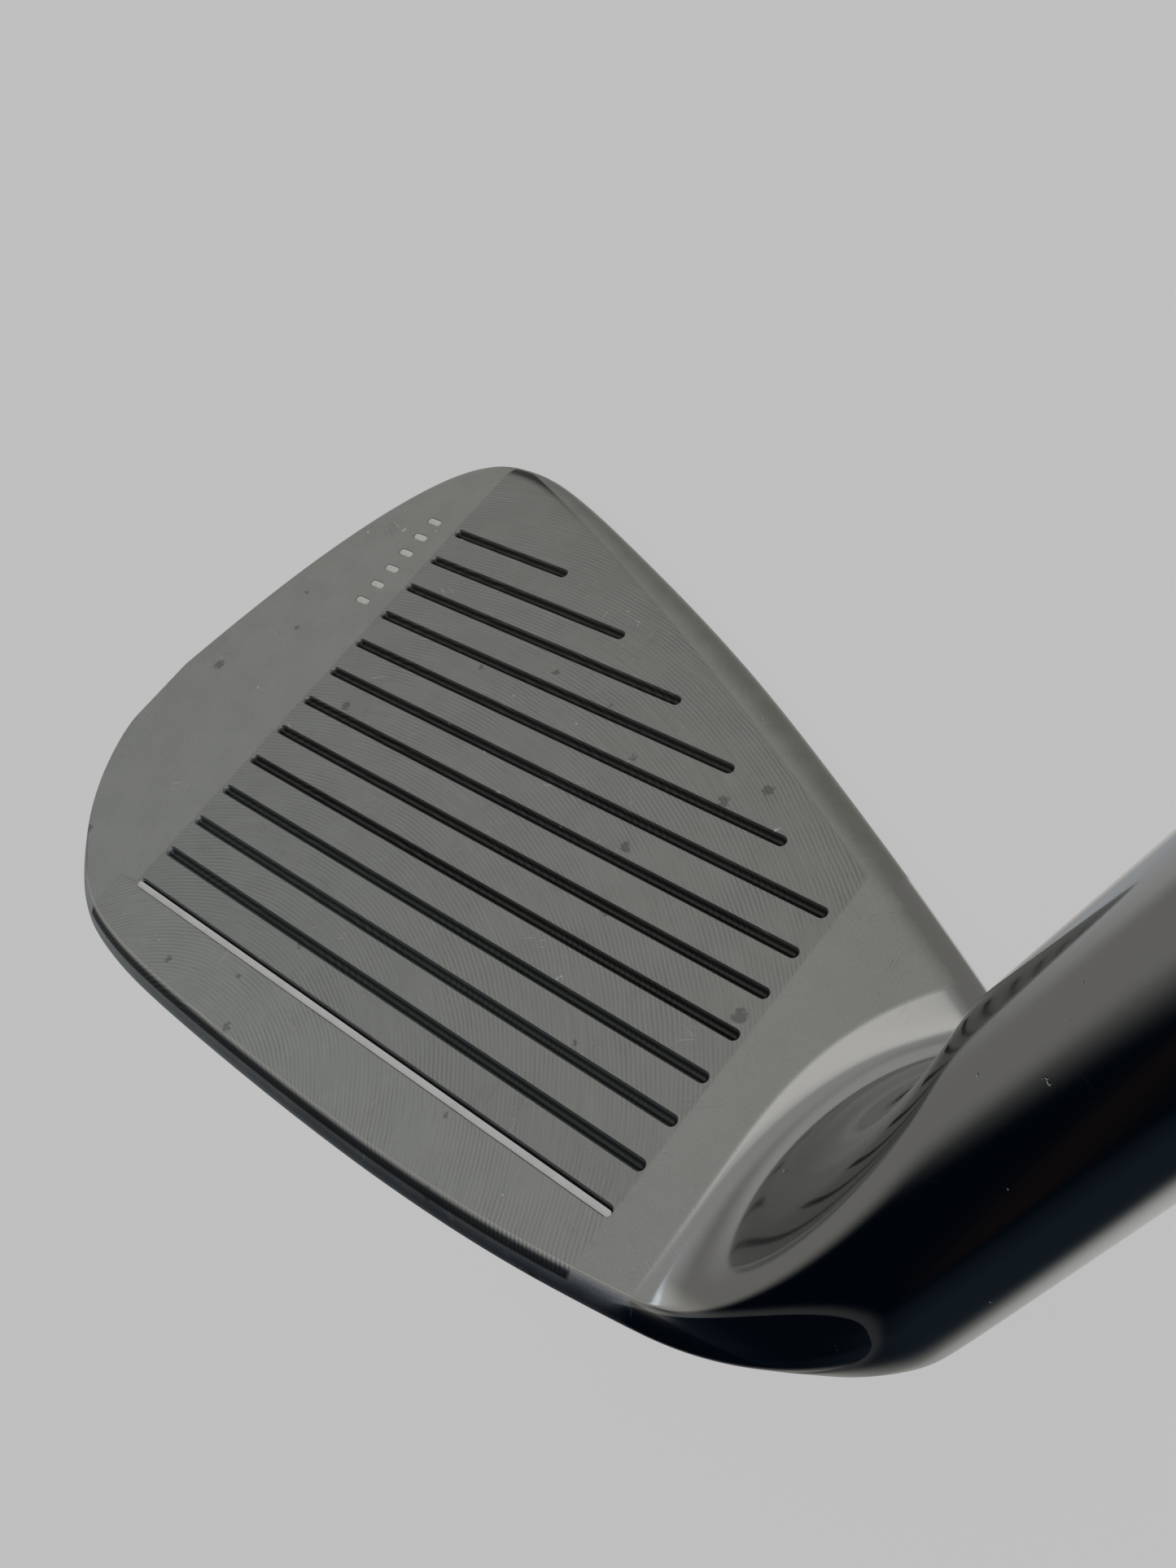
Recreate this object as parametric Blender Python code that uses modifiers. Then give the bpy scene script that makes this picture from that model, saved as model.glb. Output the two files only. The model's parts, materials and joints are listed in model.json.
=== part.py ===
"""Iron golf club, lying on the ground with the back of its head down.

It is designed at address, standing on its sole: the origin is on the sole under the middle of the
face, +X runs from toe to heel, the face looks towards -Y and leans back by the loft, and the shaft
rises towards +X at the lie angle. A club can't stand like that alone, so the finished pieces are
laid down on the side that the club rests on. Then the shaft runs along +X, and the origin is on the
ground under the middle of the club's box.

The head is one forging: a lofted skin runs from the toe along the blade, turns at the heel and ends
as the round hosel. Every other piece is turned about the shaft's axis, or fills a cut in the face.
"""
import math

import bmesh
import bpy
import numpy as np
from mathutils import Matrix, Vector
from mathutils.geometry import intersect_ray_tri

MM = 0.001

# The club as a whole. Distances "up the shaft" start where the shaft's axis meets the ground.
CLUB_LENGTH = 902 * MM
LIE = math.radians(62)
LOFT = math.radians(46)

# Face: u runs along the score lines from their toe end, v up the face, w out of it.
FACE_OFFSET = 3.4 * MM          # the lowest line stands this far in front of the sole's middle
LINE_HEIGHT = 7.5 * MM          # lowest score line above the ground
LINE_COUNT = 13
LINE_PITCH = 3.4 * MM
LINE_LENGTH = 51.5 * MM
LINE_WIDTH = 0.9 * MM
LINE_DEPTH = 0.45 * MM
LINE_TOP_GAP = 7.2 * MM         # upper lines stop where the top line comes this close

# Outline of the blade on the face plane, toe to heel, in u and v.
TOE_TIP = (-15.2, 16.0)
TOP_OUTLINE = ((-13.7, 25.0), (-11.7, 34.0), (-8.8, 42.6), (-5.0, 49.0), (0.0, 51.4), (6.0, 50.5),
               (15.0, 47.5), (30.0, 41.7), (45.0, 34.8), (56.0, 28.8), (66.0, 23.5))
EDGE_OUTLINE = ((-14.6, 10.5), (-12.0, 5.0), (-8.2, 0.9), (-3.5, -2.4), (3.0, -4.1), (16.0, -4.8),
                (32.0, -4.9), (45.0, -4.2), (56.0, -2.7), (66.0, -1.0))

# Thickness and sole of the blade.
TOP_LINE_WIDTH = 6.0 * MM
TOP_LINE_FALL = 1.0 * MM        # back of the top line below its front
UPPER_THICKNESS = 6.5 * MM
SOLE_WIDTH = 20.0 * MM
BOUNCE = math.radians(10)
TRAILING_RISE = math.radians(13)
MUSCLE_HEIGHT = 9.0 * MM
MUSCLE_LEAN = 3.5 * MM
MUSCLE_FADE = 9.0 * MM          # height over which the muscle runs out into the upper blade
FULL_HEIGHT = 45.0 * MM         # height of the blade from which its muscle has its full size
BOUNCE_SHARE = 0.55             # share of the sole ahead of its lowest point
RELIEF_SHARE = 0.47             # share of the sole behind it
TOE_SOLE_SHARE = 0.35           # width of the sole at the toe's tip, as a share of its full width
TOE_TOP_SHARE = 0.4             # the same for the top line
EDGE_RADIUS = 2.0 * MM
TOP_RADIUS = 2.4 * MM
TOP_BACK_RADIUS = 2.0 * MM
FADE_RADIUS = 8.0 * MM
MUSCLE_RADIUS = 6.0 * MM
TRAILING_RADIUS = 2.5 * MM
SOLE_RADIUS = 22.0 * MM
TOE_ROUNDING = 12.0 * MM        # length over which the toe's end closes
TOE_RUN_OUT = 2.0 * MM
FIRST_TOE_ANGLE = 0.15          # of the quarter circle that the toe's end closes on
BLADE_END = 56.0 * MM           # where the flat face ends at the heel
HEEL_LEAN = 9.0 * MM            # how much further the top line runs than the leading edge
LEAN_START = 0.64               # share of the blade from which its sections lean
LEAN_FOOT = 6.0 * MM            # height on the face from which they lean
LEAN_REACH = 22.0 * MM
LEAN_MOST = 1.3
LEAN_POWER = 1.6
FOLLOW_FOOT = 10.0 * MM         # height on the face from which they also follow the top line down
FOLLOW_REACH = 15.0 * MM

# Heel blend and hosel.
HOSEL_RADIUS = 6.7 * MM
HOSEL_TOP = 71.0 * MM
HOSEL_CHAMFER = 0.4 * MM
HEEL_POINT = 34.0 * MM          # where the shaft's axis meets the ground, along X
SHAFT_OFFSET = 0.9 * MM         # the shaft's axis, along Y
BLEND_MIDDLE = 23.2 * MM        # up the shaft, where the blend ends at the front and the back
BLEND_SLANT = 8.0 * MM          # how much higher it ends at the crotch, and lower at the heel
BLEND_PULL = 1.05               # length of the blend's tangents, as a share of its chord
BLEND_RUN_OUT = 3.0 * MM        # above the blend, where the hosel's sections are square to it
CORNER_SHARE = 0.2              # share of the way to the next corner that a rounding takes up

# Ground flat on the heel: its middle stands off the shaft's axis, turned from the target side towards
# the heel and tipped towards the ground.
FLAT_HEIGHT = 9.9 * MM
FLAT_STANDOFF = 5.9 * MM
FLAT_TURN = math.radians(28)
FLAT_TIP = math.radians(10)
FLAT_CUTTER = 30.0 * MM

# Shaft, tip and bore.
BORE_DEPTH = 31.0 * MM
BORE_OVERRUN = 5.0 * MM         # the cutter stands this far out of the hosel
TIP_RADIUS = 4.70 * MM
BUTT_RADIUS = 7.62 * MM
TIP_WALL = 0.75 * MM
BUTT_WALL = 0.45 * MM
BOND_WALL = 0.15 * MM
BORE_FLOOR_GAP = 0.5 * MM
FIT = 0.02 * MM                 # clearance between pieces that are glued or pressed together
STEP_COUNT = 12
STEP_LENGTH = 28.0 * MM
STEP_SHOULDER = 1.5 * MM
LAST_STEP_BELOW_GRIP = 75.0 * MM
WEIGHT_LENGTH = 18.0 * MM

# Ferrule and band.
FERRULE_LENGTH = 24.0 * MM
FERRULE_TOP_WALL = 0.45 * MM
FERRULE_BAND = 3.0 * MM         # straight length beside the hosel
FERRULE_WAIST = 12.0 * MM       # where the taper bends
FERRULE_WAIST_WALL = 1.42 * MM
BAND_LENGTH = 35.0 * MM
BAND_BELOW_GRIP = 15.0 * MM
BAND_THICKNESS = 0.12 * MM

# Grip.
GRIP_LENGTH = 267.0 * MM
GRIP_MOUTH_WALL = 1.3 * MM
GRIP_LIP = 4.0 * MM
GRIP_FLARE = 1.35               # power of the taper
GRIP_BUTT_RADIUS = 13.4 * MM
TAPE_THICKNESS = 0.25 * MM
TAPE_SHORT = 6.0 * MM           # the tape stops this far inside the grip's mouth
CAP_THICKNESS = 3.2 * MM
CAP_CHAMFER = 1.2 * MM
CAP_STEM = 6.0 * MM
VENT_RADIUS = 1.5 * MM

# Toe mark: a row of plain bars beside the face.
MARK_COUNT = 6
MARK_PITCH = 2.0 * MM
MARK_LENGTH = 1.6 * MM
MARK_WIDTH = 0.7 * MM
MARK_DEPTH = 0.25 * MM
MARK_U = -3.0 * MM
MARK_V = 31.0 * MM              # lowest bar
SLOT_ROUNDING = 0.49            # radius of a line's or a bar's ends, as a share of its width

# Lying on the ground: where the club balances, up the shaft and off its axis towards the blade, and
# the side that faces the ground, turned about the shaft from the back of the head towards the sole.
BALANCE_HEIGHT = 245.0 * MM
BALANCE_OFFSET = 17.0 * MM
REST_TURN = math.radians(20)

# Fineness of the solids.
ROUND_STEPS = 24
TOE_RINGS = 12
BLADE_RINGS = 15
BLEND_RINGS = 14
OUTLINE_STEPS = 12
FACE_STEPS = 8
BACK_STEPS = 2
GRIP_RINGS = 10
SLOT_STEPS = 4
SHARP_ANGLE = math.radians(35)
WELD = 0.004 * MM               # vertices closer than this become one

# Directions.
ALONG_FACE = np.array((1.0, 0.0, 0.0))
UP_FACE = np.array((0.0, math.sin(LOFT), math.cos(LOFT)))
OUT_OF_FACE = np.array((0.0, -math.cos(LOFT), math.sin(LOFT)))
UP_SHAFT = np.array((math.cos(LIE), 0.0, math.sin(LIE)))
TO_CROTCH = np.array((-math.sin(LIE), 0.0, math.cos(LIE)))
TO_TARGET = np.array((0.0, -1.0, 0.0))
FACE_ORIGIN = np.array((-LINE_LENGTH / 2, -FACE_OFFSET, LINE_HEIGHT))
SHAFT_FOOT = np.array((HEEL_POINT, SHAFT_OFFSET, 0.0))

# Places up the shaft that several pieces share.
BORE_BOTTOM = HOSEL_TOP - BORE_DEPTH
SHAFT_TIP = BORE_BOTTOM + BORE_FLOOR_GAP
CAP_BOTTOM = CLUB_LENGTH - CAP_THICKNESS
SHAFT_BUTT = CAP_BOTTOM - FIT
GRIP_MOUTH = CLUB_LENGTH - GRIP_LENGTH
LAST_STEP = GRIP_MOUTH - LAST_STEP_BELOW_GRIP
FIRST_STEP = LAST_STEP - STEP_LENGTH * (STEP_COUNT - 1)
BORE_RADIUS = TIP_RADIUS + BOND_WALL + 2 * FIT


# ---------------------------------------------------------------- scene helpers

def clear_scene():
    """Remove every object that the file starts with."""
    for obj in list(bpy.data.objects):
        bpy.data.objects.remove(obj, do_unlink=True)


def new_collection(name):
    """A collection linked to the scene."""
    collection = bpy.data.collections.new(name)
    bpy.context.scene.collection.children.link(collection)
    return collection


def add_object(name, mesh, collection):
    """An object for a mesh, in its collection."""
    obj = bpy.data.objects.new(name, mesh)
    collection.objects.link(obj)
    return obj


def mesh_from(name, bm):
    """A mesh from a bmesh, with its faces turned outwards."""
    bmesh.ops.recalc_face_normals(bm, faces=bm.faces)
    mesh = bpy.data.meshes.new(name)
    bm.to_mesh(mesh)
    bm.free()
    return mesh


def finish(obj, color, roughness, metallic):
    """Put an object's modified shape into its mesh, weld it, shade it smooth and paint it."""
    bpy.context.view_layer.update()
    shape = obj.evaluated_get(bpy.context.evaluated_depsgraph_get())
    mesh = bpy.data.meshes.new_from_object(shape)
    bm = bmesh.new()
    bm.from_mesh(mesh)
    bmesh.ops.remove_doubles(bm, verts=bm.verts, dist=WELD)
    bmesh.ops.dissolve_degenerate(bm, edges=bm.edges, dist=WELD)
    bm.to_mesh(mesh)
    bm.free()
    obj.modifiers.clear()
    obj.data = mesh
    mesh.name = obj.name
    mesh.shade_smooth()
    mesh.set_sharp_from_angle(angle=SHARP_ANGLE)
    material = bpy.data.materials.new(obj.name)
    material.use_nodes = True
    shader = material.node_tree.nodes["Principled BSDF"]
    shader.inputs["Base Color"].default_value = (*color, 1.0)
    shader.inputs["Roughness"].default_value = roughness
    shader.inputs["Metallic"].default_value = metallic
    mesh.materials.append(material)


def cut(obj, cutter):
    """Subtract a cutter from an object."""
    modifier = obj.modifiers.new(cutter.name, "BOOLEAN")
    modifier.operation = "DIFFERENCE"
    modifier.solver = "EXACT"
    modifier.object = cutter


def hide_cutter(obj):
    """Mark an object as a cutter."""
    obj.hide_render = True
    obj.display_type = "WIRE"


# ---------------------------------------------------------------- turned pieces

def shaft_matrix():
    """Frame of the shaft's axis: local +Z up the shaft, local +X away from the crotch."""
    columns = (-TO_CROTCH, -TO_TARGET, UP_SHAFT)
    matrix = Matrix([[column[row] for column in columns] for row in range(3)]).to_4x4()
    matrix.translation = Vector(SHAFT_FOOT)
    return matrix


def turned(name, profile, collection, closed=True):
    """Turn a profile of (radius, height) points, top to bottom, about the shaft's axis."""
    bm = bmesh.new()
    vertices = [bm.verts.new((radius, 0.0, height)) for radius, height in profile]
    for first, second in zip(vertices, vertices[1:]):
        bm.edges.new((first, second))
    if closed:
        bm.edges.new((vertices[-1], vertices[0]))
    mesh = bpy.data.meshes.new(name)
    bm.to_mesh(mesh)
    bm.free()
    obj = add_object(name, mesh, collection)
    obj.matrix_world = shaft_matrix()
    screw = obj.modifiers.new("turn", "SCREW")
    screw.axis = "Z"
    screw.angle = math.tau
    screw.steps = ROUND_STEPS
    screw.render_steps = ROUND_STEPS
    screw.use_merge_vertices = True
    screw.merge_threshold = 0.000001
    return obj


def shaft_radius(height):
    """Outer radius of the shaft at a height, between the shoulders of its steps."""
    steps = math.floor((height - FIRST_STEP) / STEP_LENGTH) + 1
    steps = min(max(steps, 0), STEP_COUNT)
    return TIP_RADIUS + (BUTT_RADIUS - TIP_RADIUS) * steps / STEP_COUNT


def shaft_outside():
    """Outer profile of the shaft from butt to tip, with a shoulder at each step."""
    points = [(BUTT_RADIUS, SHAFT_BUTT)]
    for step in reversed(range(STEP_COUNT)):
        shoulder = FIRST_STEP + step * STEP_LENGTH
        points.append((shaft_radius(shoulder + STEP_LENGTH / 2), shoulder))
        points.append((shaft_radius(shoulder - STEP_LENGTH / 2), shoulder - STEP_SHOULDER))
    points.append((TIP_RADIUS, SHAFT_TIP))
    return points


def make_shaft(collection):
    """Stepped steel tube, open at both ends."""
    bore = [(TIP_RADIUS - TIP_WALL, SHAFT_TIP), (TIP_RADIUS - TIP_WALL, FIRST_STEP),
            (BUTT_RADIUS - BUTT_WALL, LAST_STEP), (BUTT_RADIUS - BUTT_WALL, SHAFT_BUTT)]
    shaft = turned("shaft", shaft_outside() + bore, collection)
    finish(shaft, (0.62, 0.63, 0.64), 0.12, 1.0)


def make_tip_weight(collection):
    """Brass plug inside the shaft's tip."""
    radius = TIP_RADIUS - TIP_WALL - FIT
    bottom = SHAFT_TIP + FIT
    profile = [(0.0, bottom + WEIGHT_LENGTH), (radius, bottom + WEIGHT_LENGTH),
               (radius, bottom), (0.0, bottom)]
    weight = turned("tip_weight", profile, collection, closed=False)
    finish(weight, (0.70, 0.52, 0.24), 0.35, 1.0)


def make_hosel_bond(collection):
    """Adhesive sleeve between the shaft's tip and the hosel's bore."""
    inside = TIP_RADIUS + FIT
    outside = inside + BOND_WALL
    profile = [(inside, HOSEL_TOP), (outside, HOSEL_TOP), (outside, SHAFT_TIP), (inside, SHAFT_TIP)]
    bond = turned("hosel_bond", profile, collection)
    finish(bond, (0.55, 0.50, 0.36), 0.6, 0.0)


def make_ferrule(collection):
    """Tapered collar that covers the step from the hosel to the shaft."""
    bottom = HOSEL_TOP + FIT
    top = bottom + FERRULE_LENGTH
    inside = TIP_RADIUS + FIT
    profile = [(inside, top), (inside + FERRULE_TOP_WALL, top),
               (inside + FERRULE_WAIST_WALL, bottom + FERRULE_WAIST),
               (HOSEL_RADIUS, bottom + FERRULE_BAND), (HOSEL_RADIUS, bottom), (inside, bottom)]
    ferrule = turned("ferrule", profile, collection)
    finish(ferrule, (0.02, 0.02, 0.022), 0.22, 0.0)


def make_shaft_band(collection):
    """Printed film around the shaft below the grip."""
    top = GRIP_MOUTH - BAND_BELOW_GRIP
    inside = BUTT_RADIUS + FIT
    outside = inside + BAND_THICKNESS
    profile = [(inside, top), (outside, top), (outside, top - BAND_LENGTH),
               (inside, top - BAND_LENGTH)]
    band = turned("shaft_band", profile, collection)
    finish(band, (0.05, 0.06, 0.08), 0.35, 0.0)


def make_grip_tape(collection):
    """Tape sleeve on the shaft's butt, under the grip."""
    inside = BUTT_RADIUS + FIT
    outside = inside + TAPE_THICKNESS
    bottom = GRIP_MOUTH + TAPE_SHORT
    profile = [(inside, SHAFT_BUTT), (outside, SHAFT_BUTT), (outside, bottom), (inside, bottom)]
    tape = turned("grip_tape", profile, collection)
    finish(tape, (0.78, 0.74, 0.64), 0.8, 0.0)


def make_grip(collection):
    """Rubber sleeve, thin at its mouth and wide at its butt."""
    inside = BUTT_RADIUS + TAPE_THICKNESS + 2 * FIT
    mouth = inside + GRIP_MOUTH_WALL
    top = CAP_BOTTOM - FIT
    length = top - GRIP_MOUTH
    profile = [(inside, top)]
    for ring in range(GRIP_RINGS, 0, -1):
        share = ring / GRIP_RINGS
        radius = mouth + (GRIP_BUTT_RADIUS - mouth) * share ** GRIP_FLARE
        profile.append((radius, GRIP_MOUTH + length * share))
    profile.append((mouth, GRIP_MOUTH + GRIP_LIP))
    profile.append((mouth - GRIP_MOUTH_WALL / 2, GRIP_MOUTH))
    profile.append((inside, GRIP_MOUTH))
    grip = turned("grip", profile, collection)
    finish(grip, (0.025, 0.025, 0.027), 0.75, 0.0)


def make_grip_cap(collection):
    """End cap with a stem inside the shaft's butt and a vent hole through it."""
    stem = BUTT_RADIUS - BUTT_WALL - FIT
    profile = [(VENT_RADIUS, CLUB_LENGTH), (GRIP_BUTT_RADIUS - CAP_CHAMFER, CLUB_LENGTH),
               (GRIP_BUTT_RADIUS, CLUB_LENGTH - CAP_CHAMFER), (GRIP_BUTT_RADIUS, CAP_BOTTOM),
               (stem, CAP_BOTTOM), (stem, CAP_BOTTOM - CAP_STEM),
               (VENT_RADIUS, CAP_BOTTOM - CAP_STEM)]
    cap = turned("grip_cap", profile, collection)
    finish(cap, (0.03, 0.03, 0.032), 0.6, 0.0)


# ---------------------------------------------------------------- head: outline and sections

def curve_through(points):
    """Points along a smooth curve through the given ones, in metres."""
    knots = np.array(points) * MM
    first = 2 * knots[0] - knots[1]
    last = 2 * knots[-1] - knots[-2]
    knots = np.vstack((first, knots, last))
    dense = []
    for before, start, end, after in zip(knots, knots[1:], knots[2:], knots[3:]):
        for share in np.arange(OUTLINE_STEPS) / OUTLINE_STEPS:
            line = end - before
            bend = 2 * before - 5 * start + 4 * end - after
            twist = 3 * start - before - 3 * end + after
            dense.append(start + 0.5 * (line * share + bend * share ** 2 + twist * share ** 3))
    return np.array(dense + [knots[-2]])


TOP_CURVE = curve_through((TOE_TIP,) + TOP_OUTLINE)
EDGE_CURVE = curve_through((TOE_TIP,) + EDGE_OUTLINE)


def top_height(u):
    """Height of the top line on the face plane."""
    return np.interp(u, TOP_CURVE[:, 0], TOP_CURVE[:, 1])


def edge_height(u):
    """Height at which the flat face ends above the leading edge."""
    return np.interp(u, EDGE_CURVE[:, 0], EDGE_CURVE[:, 1])


def ease(share):
    """Smooth step from 0 to 1."""
    share = np.clip(share, 0.0, 1.0)
    return share * share * (3 - 2 * share)


def level(angle):
    """Direction in v and w of a line that rises from level by an angle, towards the back."""
    along, up = math.cos(angle), math.sin(angle)
    return np.array((along * math.sin(LOFT) + up * math.cos(LOFT),
                     up * math.sin(LOFT) - along * math.cos(LOFT)))


def toe_fullness(u):
    """0 at the toe's tip, 1 where the blade has its full thickness."""
    share = min(1.0, (u - TOE_TIP[0] * MM) / TOE_ROUNDING)
    return math.sqrt(1 - (1 - share) ** 2)


def corners(u):
    """Corners of the blade's section at u: place in v and w, rounding, steps, steps to the next."""
    full = toe_fullness(u)
    top = top_height(u)
    tall = min(1.0, (top - edge_height(u)) / FULL_HEIGHT)
    radius = EDGE_RADIUS * full
    wedge = math.pi / 2 - LOFT + BOUNCE
    edge = np.array((edge_height(u) - radius / math.tan(wedge / 2), 0.0))
    width = SOLE_WIDTH * (TOE_SOLE_SHARE + (1 - TOE_SOLE_SHARE) * full)
    sole = edge + level(-BOUNCE) * width * BOUNCE_SHARE
    trailing = sole + level(TRAILING_RISE) * width * RELIEF_SHARE
    thickness = TOP_LINE_WIDTH * (TOE_TOP_SHARE + (1 - TOE_TOP_SHARE) * full)
    back = (top - TOP_LINE_FALL * full, -thickness)
    muscle = trailing + np.array((MUSCLE_HEIGHT, MUSCLE_LEAN)) * tall
    fade = (muscle[0] + MUSCLE_FADE * tall, thickness / TOP_LINE_WIDTH * -UPPER_THICKNESS)
    return ((edge, radius, 5, FACE_STEPS),
            ((top, 0.0), TOP_RADIUS * full, 3, 1),
            (back, TOP_BACK_RADIUS * full, 3, BACK_STEPS),
            (fade, FADE_RADIUS * full, 3, 1),
            (muscle, MUSCLE_RADIUS * full, 3, BACK_STEPS),
            (trailing, TRAILING_RADIUS * full, 3, 1),
            (sole, SOLE_RADIUS * full, 4, 1))


def rounded(shape):
    """Points around a polygon with rounded corners, and each point's place between corners."""
    places = [np.array(corner[0]) for corner in shape]
    count = len(places)
    sides = [np.linalg.norm(places[(i + 1) % count] - places[i]) for i in range(count)]
    towards = []
    angles = []
    reaches = []
    for i, corner in enumerate(shape):
        back = (places[i - 1] - places[i]) / sides[i - 1]
        ahead = (places[(i + 1) % count] - places[i]) / sides[i]
        angle = math.acos(np.clip(back @ ahead, -1.0, 1.0))
        towards.append((back, ahead))
        angles.append(angle)
        reaches.append(corner[1] / math.tan(angle / 2))
    arcs = []
    for i, corner in enumerate(shape):
        reach = reaches[i]
        limit_back = sides[i - 1] * reach / (reach + reaches[i - 1] + 1e-9)
        limit_ahead = sides[i] * reach / (reach + reaches[(i + 1) % count] + 1e-9)
        reach = 0.999 * min(reach, limit_back, limit_ahead)
        back, ahead = towards[i]
        radius = reach * math.tan(angles[i] / 2)
        inwards = (back + ahead) / np.linalg.norm(back + ahead)
        centre = places[i] + inwards * radius / math.sin(angles[i] / 2)
        start = places[i] + back * reach - centre
        end = places[i] + ahead * reach - centre
        sweep = math.atan2(start[0] * end[1] - start[1] * end[0], start @ end)
        arc = []
        for share in np.linspace(0.0, 1.0, corner[2] + 1):
            turn = sweep * share
            turned_u = start[0] * math.cos(turn) - start[1] * math.sin(turn)
            turned_v = start[0] * math.sin(turn) + start[1] * math.cos(turn)
            arc.append(centre + np.array((turned_u, turned_v)))
        arcs.append(arc)
    points = []
    for i, corner in enumerate(shape):
        points.extend(arcs[i])
        following = arcs[(i + 1) % count][0]
        for step in range(1, corner[3]):
            points.append(arcs[i][-1] + (following - arcs[i][-1]) * step / corner[3])
    return np.array(points)


def blade_ring(u):
    """Section of the blade at u, in the world, with the heel end leaning to the crotch."""
    flat = rounded(corners(u))
    late = ease((u / BLADE_END - LEAN_START) / (1 - LEAN_START))
    rise = np.clip((flat[:, 0] - LEAN_FOOT) / LEAN_REACH, 0.0, LEAN_MOST)
    lean = HEEL_LEAN * late * rise ** LEAN_POWER
    slope = np.gradient(TOP_CURVE[:, 1], TOP_CURVE[:, 0])[-1]
    high = flat[:, 0] + lean * slope * ease((flat[:, 0] - FOLLOW_FOOT) / FOLLOW_REACH)
    ring = (FACE_ORIGIN + np.outer(u + lean, ALONG_FACE) + np.outer(high, UP_FACE)
            + np.outer(flat[:, 1], OUT_OF_FACE))
    ring[:, 2] = np.maximum(ring[:, 2], 0.0)
    return ring


# ---------------------------------------------------------------- head: heel blend and hosel

# Where each corner of the blade's section ends up around the hosel, in degrees from the crotch,
# positive towards the face.
CORNER_ANGLES = (120, -10, -70, -100, -125, -155, -200)


def hosel_angles(shape):
    """Angle around the hosel for each point of a section."""
    angles = []
    count = len(shape)
    for i, corner in enumerate(shape):
        here = CORNER_ANGLES[i]
        before = CORNER_ANGLES[i - 1] + (360 if i == 0 else 0)
        after = CORNER_ANGLES[(i + 1) % count] - (360 if i == count - 1 else 0)
        first = here + (before - here) * CORNER_SHARE
        last = here + (after - here) * CORNER_SHARE
        angles.extend(np.linspace(first, last, corner[2] + 1))
        following = after + (here - after) * CORNER_SHARE
        for step in range(1, corner[3]):
            angles.append(last + (following - last) * step / corner[3])
    return np.radians(angles)


def hosel_ring(angles, height, radius=HOSEL_RADIUS):
    """Ring around the shaft's axis, at a height up the shaft for each point."""
    height = np.broadcast_to(height, angles.shape)
    return (SHAFT_FOOT + np.outer(height, UP_SHAFT)
            + radius * (np.outer(np.cos(angles), TO_CROTCH) + np.outer(np.sin(angles), TO_TARGET)))


def blend_rings():
    """Rings from the blade's heel end to the hosel, each point along its own smooth curve."""
    start = blade_ring(BLADE_END)
    heading = start - blade_ring(BLADE_END - MM)
    heading /= np.linalg.norm(heading, axis=1)[:, None]
    angles = hosel_angles(corners(BLADE_END))
    height = BLEND_MIDDLE + BLEND_SLANT * np.cos(angles)
    end = hosel_ring(angles, height)
    pull = BLEND_PULL * np.linalg.norm(end - start, axis=1)[:, None]
    rings = []
    for share in np.linspace(0.0, 1.0, BLEND_RINGS + 1)[1:]:
        near = (2 * share ** 3 - 3 * share ** 2 + 1) * start
        leave = (share ** 3 - 2 * share ** 2 + share) * pull * heading
        far = (3 * share ** 2 - 2 * share ** 3) * end
        arrive = (share ** 3 - share ** 2) * pull * UP_SHAFT
        rings.append(near + leave + far + arrive)
    square = BLEND_MIDDLE + BLEND_SLANT + BLEND_RUN_OUT
    for share in (0.5, 1.0):
        rings.append(hosel_ring(angles, height * (1 - share) + square * share))
    rings.append(hosel_ring(angles, HOSEL_TOP - HOSEL_CHAMFER))
    rings.append(hosel_ring(angles, HOSEL_TOP, HOSEL_RADIUS - HOSEL_CHAMFER))
    return rings


def head_rings():
    """All rings of the head, from the toe's tip to the top of the hosel."""
    tip = TOE_TIP[0] * MM
    toe_end = tip + TOE_ROUNDING + TOE_RUN_OUT
    angles = np.linspace(FIRST_TOE_ANGLE, math.pi / 2, TOE_RINGS)
    toe = tip + (toe_end - tip) * (1 - np.cos(angles))
    blade = np.linspace(toe_end, BLADE_END, BLADE_RINGS + 1)[1:]
    return [blade_ring(u) for u in (*toe, *blade)] + blend_rings()


def head_skin():
    """Closed mesh through the rings of the head."""
    bm = bmesh.new()
    loops = [[bm.verts.new(point) for point in ring] for ring in head_rings()]
    for lower, upper in zip(loops, loops[1:]):
        for i in range(len(lower)):
            bm.faces.new((lower[i - 1], lower[i], upper[i], upper[i - 1]))
    bm.faces.new(loops[0])
    bm.faces.new(loops[-1])
    return mesh_from("club_head", bm)


# ---------------------------------------------------------------- head: cuts and their fills

def face_matrix(u, v, w=0.0):
    """Frame on the face: local X along it, local Y up it, local Z out of it."""
    columns = (ALONG_FACE, UP_FACE, OUT_OF_FACE)
    matrix = Matrix([[column[row] for column in columns] for row in range(3)]).to_4x4()
    place = FACE_ORIGIN + u * ALONG_FACE + v * UP_FACE + w * OUT_OF_FACE
    matrix.translation = Vector(place)
    return matrix


def slot_mesh(name, length, width, low, high):
    """Bar with round ends, from low to high along its local Z, starting at its local origin."""
    bm = bmesh.new()
    bmesh.ops.create_cube(bm, size=1.0)
    bmesh.ops.scale(bm, vec=(length, width, high - low), verts=bm.verts)
    bmesh.ops.translate(bm, vec=(length / 2, 0.0, (low + high) / 2), verts=bm.verts)
    upright = [edge for edge in bm.edges if abs(edge.verts[0].co.z - edge.verts[1].co.z) > 0]
    bmesh.ops.bevel(bm, geom=upright, offset=width * SLOT_ROUNDING, segments=SLOT_STEPS,
                    profile=0.5, affect="EDGES")
    return mesh_from(name, bm)


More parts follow.
